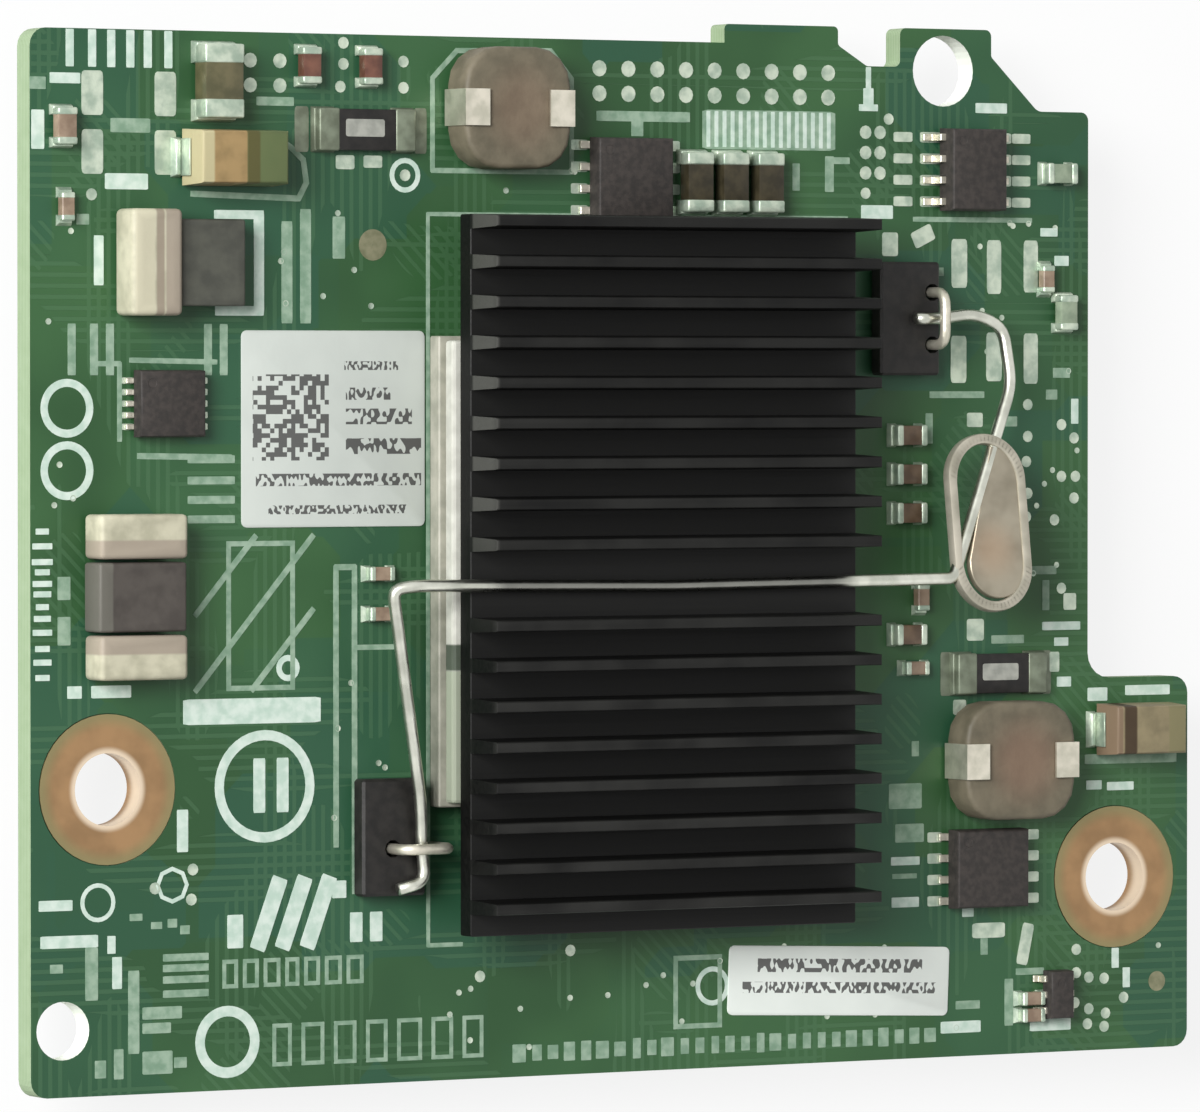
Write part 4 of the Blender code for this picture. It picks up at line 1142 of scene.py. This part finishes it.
fine += [(16.25, 46.4, 0.7, 5.8), (17.45, 46.75, 0.7, 6.5), (19.6, 48.4, 0.8, 2.4),
         (0.5, 56.9, 1.0, 0.7), (15.5, 56.1, 2.4, 0.5), (6.3, 54.6, 2.5, 0.8),
         (3.3, 49.3, 0.8, 0.6), (39.7, 55.6, 6.3, 0.6), (39.3, 54.9, 0.8, 0.9),
         (48.25, 54.92, 9.1, 2.3), (52.4, 52.4, 0.6, 2.1), (53.0, 53.2, 1.6, 0.4),
         (50.1, 52.2, 0.5, 1.6), (60.1, 44.8, 0.35, 1.1), (60.1, 46.7, 0.5, 0.5),
         (64.9, 37.8, 1.3, 0.6), (59.35, 37.4, 0.5, 1.8), (68.7, 40.7, 1.2, 0.6),
         (68.0, 39.4, 0.8, 0.6), (67.3, 28.9, 2.1, 0.5), (67.6, 27.4, 0.5, 1.8),
         (64.9, 24.8, 2.3, 0.5), (58.4, 18.4, 0.5, 0.9), (57.7, 15.6, 2.3, 1.5),
         (58.0, 13.4, 2.0, 1.1), (57.65, 10.85, 1.7, 0.3), (73.7, 17.5, 6.6, 0.6),
         (63.25, 6.5, 0.5, 1.0), (65.0, 3.1, 0.6, 2.8), (66.5, 4.9, 2.0, 0.4),
         (62.1, 3.05, 1.7, 0.5), (2.1, 28.6, 0.8, 1.3), (2.1, 26.2, 0.8, 1.6),
         (1.6, 7.25, 0.8, 0.5), (3.8, 6.9, 0.8, 3.0), (6.45, 4.65, 0.7, 4.7),
         (5.5, 1.75, 0.6, 1.7), (4.35, 1.5, 0.7, 1.0), (8.25, 4.55, 2.5, 0.7),
         (7.9, 3.7, 1.8, 0.6), (7.95, 1.75, 1.9, 1.3), (9.4, 1.7, 0.8, 0.6),
         (6.6, 10.0, 0.8, 0.4), (7.9, 9.5, 0.7, 0.4), (8.9, 9.6, 0.6, 0.5), (9.7, 9.2, 0.6, 0.5)]
fine += [(9.75, v, 2.9, 0.42) for v in (5.6, 6.4, 7.05, 7.65)]
fine += box_outline(12.5, 22.8, 16.6, 31.0, 0.3) + span(10.4, 22.7, 17.9, 31.4, 0.35)
fine += span(10.4, 27.0, 14.2, 31.4, 0.35) + span(14.0, 22.7, 17.9, 27.2, 0.35)
fine += box_outline(41.9, 2.5, 44.9, 6.5, 0.3)
random.seed(33)
for left, right_end, v, tall in ((12.2, 22.4, 6.6, 1.4), (15.4, 29.0, 2.45, 2.2)):
    u = left
    while u < right_end - 0.8:
        wide = random.uniform(0.75, 1.15) * tall / 1.8
        fine += box_outline(u, v - tall / 2, u + wide, v + tall / 2, 0.24)
        u += wide + 0.55 * tall / 1.4
u = 31.4
while u < 59.6:
    wide = random.uniform(0.5, 0.9)
    fine.append((u, 1.35, wide, random.uniform(0.8, 1.2)))
    u += wide / 2 + 0.75
settle(plates(stroke, fine), "fine_print", dim_ink, "board")

# %% [markdown]
# ## Rings and round pads
#
# A printed ring is a circle whose edge is extruded inwards and then upwards. With hardly any
# hole left the same shape is a round copper pad, by which a machine finds the board's place.

# %% Rings and round pads
def flat_ring(u, v, outer, inner, sides=40):
    """A circle whose edge is extruded inwards, then upwards, into a thin ring."""
    only()
    centre = at(u, v, -0.01)
    bpy.ops.mesh.primitive_circle_add(vertices=sides, radius=outer * MM, location=centre)
    bpy.ops.object.transform_apply(location=True)
    ring = bpy.context.active_object
    select_edges(ring)
    narrowed(inner / outer, inner / outer, centre)
    return thickened(ring, 0.03)


rings = [flat_ring(14.8, 17.2, 3.2, 2.62), flat_ring(12.4, 2.75, 2.05, 1.45),
         flat_ring(2.3, 38.7, 1.65, 1.2), flat_ring(2.3, 35.2, 1.65, 1.2),
         flat_ring(16.3, 23.9, 0.75, 0.4, 20), flat_ring(44.4, 4.8, 1.15, 0.85, 28),
         flat_ring(8.9, 11.75, 1.05, 0.8, 8), flat_ring(4.2, 10.9, 1.1, 0.85, 24),
         flat_ring(23.9, 52.0, 1.0, 0.7, 20)]
settle(joined(rings), "ring_print", ink, "board")
dots = [flat_ring(21.8, 48.0, 0.9, 0.02, 24), flat_ring(75.6, 4.0, 0.6, 0.02, 24)]
settle(joined(dots), "copper_dots", bare_copper, "copper")

# %% [markdown]
# ## Labels
#
# Two white paper labels lie on the board. Paper is thin but not flat: it is a plate with
# rounded corners and a soft edge. The print on them is a field of dark and light cells,
# made by rounding the coordinates to a grid, and rows of short dark dashes.

# %% Labels
def label(name, box, turn, cells, rows, white=0):
    """A paper label turned by some degrees.

    The box is u0, v0, u1, v1. The field of cells has a box and a pitch, or is None. The rows
    of dashes are (v, u0, u1, height). White makes the paper brighter.
    """
    u0, v0, u1, v1 = box
    centre = at((u0 + u1) / 2, (v0 + v1) / 2)
    finish = Finish(name + "_paper")
    straight = finish.node("ShaderNodeVectorRotate", {"rotation_type": "Z_AXIS"}, {
        "Vector": finish.place(), "Center": centre, "Angle": -math.radians(turn)})
    u, v = [(part - low) / MM for part, low in zip(finish.split(straight), board_low.xy)]
    marks = 0.0
    if cells:
        a, b, c, d, pitch = cells
        grid = finish.node("ShaderNodeCombineXYZ", inputs={
            0: (u / pitch).maths("FLOOR", u / pitch), 1: (v / pitch).maths("FLOOR", v / pitch)})
        speck = finish.node("ShaderNodeTexWhiteNoise", {"noise_dimensions": "2D"},
                            {"Vector": grid})
        marks = (speck > 0.48) * u.between(a, c) * v.between(b, d)
    for row_v, start, end, tall in rows:
        dash = finish.noise(1.0, 0.0, finish.node("ShaderNodeCombineXYZ", inputs={
            0: u * 2.6 / max(tall, 0.4), 1: v * 1.5 / tall + row_v * 7.3}))
        inside = u.between(start, end) * v.between(row_v - tall / 2, row_v + tall / 2)
        marks = (dash > 0.49) * inside + marks
    paper = finish.mix(finish.noise(300.0, 2.0), screen(198 + white, 204 + white, 198 + white),
                       screen(216 + white, 222 + white, 215 + white))
    finish.colour(finish.mix(marks * 0.9, paper, screen(50, 48, 48)))
    finish.roughness(0.5 + finish.noise(900.0) * 0.1)
    finish.relief(finish.noise(1800.0), 0.01)
    sheet = cube((u0 + u1) / 2, (v0 + v1) / 2, 0.0, u1 - u0, v1 - v0, 0.1)
    bevel_uprights(sheet, 0.35, 4)
    bevel_rim(sheet, 0.04, 2)
    sheet.data.transform(Matrix.Translation(centre)
                         @ Matrix.Rotation(math.radians(turn), 4, "Z") @ Matrix.Translation(-centre))
    settle(sheet, name, finish, "board", smooth=40)


label("large_label", (13.3, 31.9, 25.15, 43.1), 0.0, (14.0, 35.7, 18.9, 40.6, 0.27),
      [(41.1, 19.9, 23.4, 0.5), (39.5, 20.0, 22.9, 0.7), (38.2, 20.0, 24.3, 0.9),
       (36.5, 20.0, 24.9, 0.9), (34.6, 14.2, 24.9, 0.7), (32.9, 15.0, 24.0, 0.5)], -11)
label("small_label", (45.45, 2.75, 60.7, 6.85), -2.2, None,
      [(5.7, 47.4, 58.8, 0.8), (4.4, 46.4, 59.8, 0.65)], 21)
for source in (pad, hole, stroke):
    bpy.data.objects.remove(source)
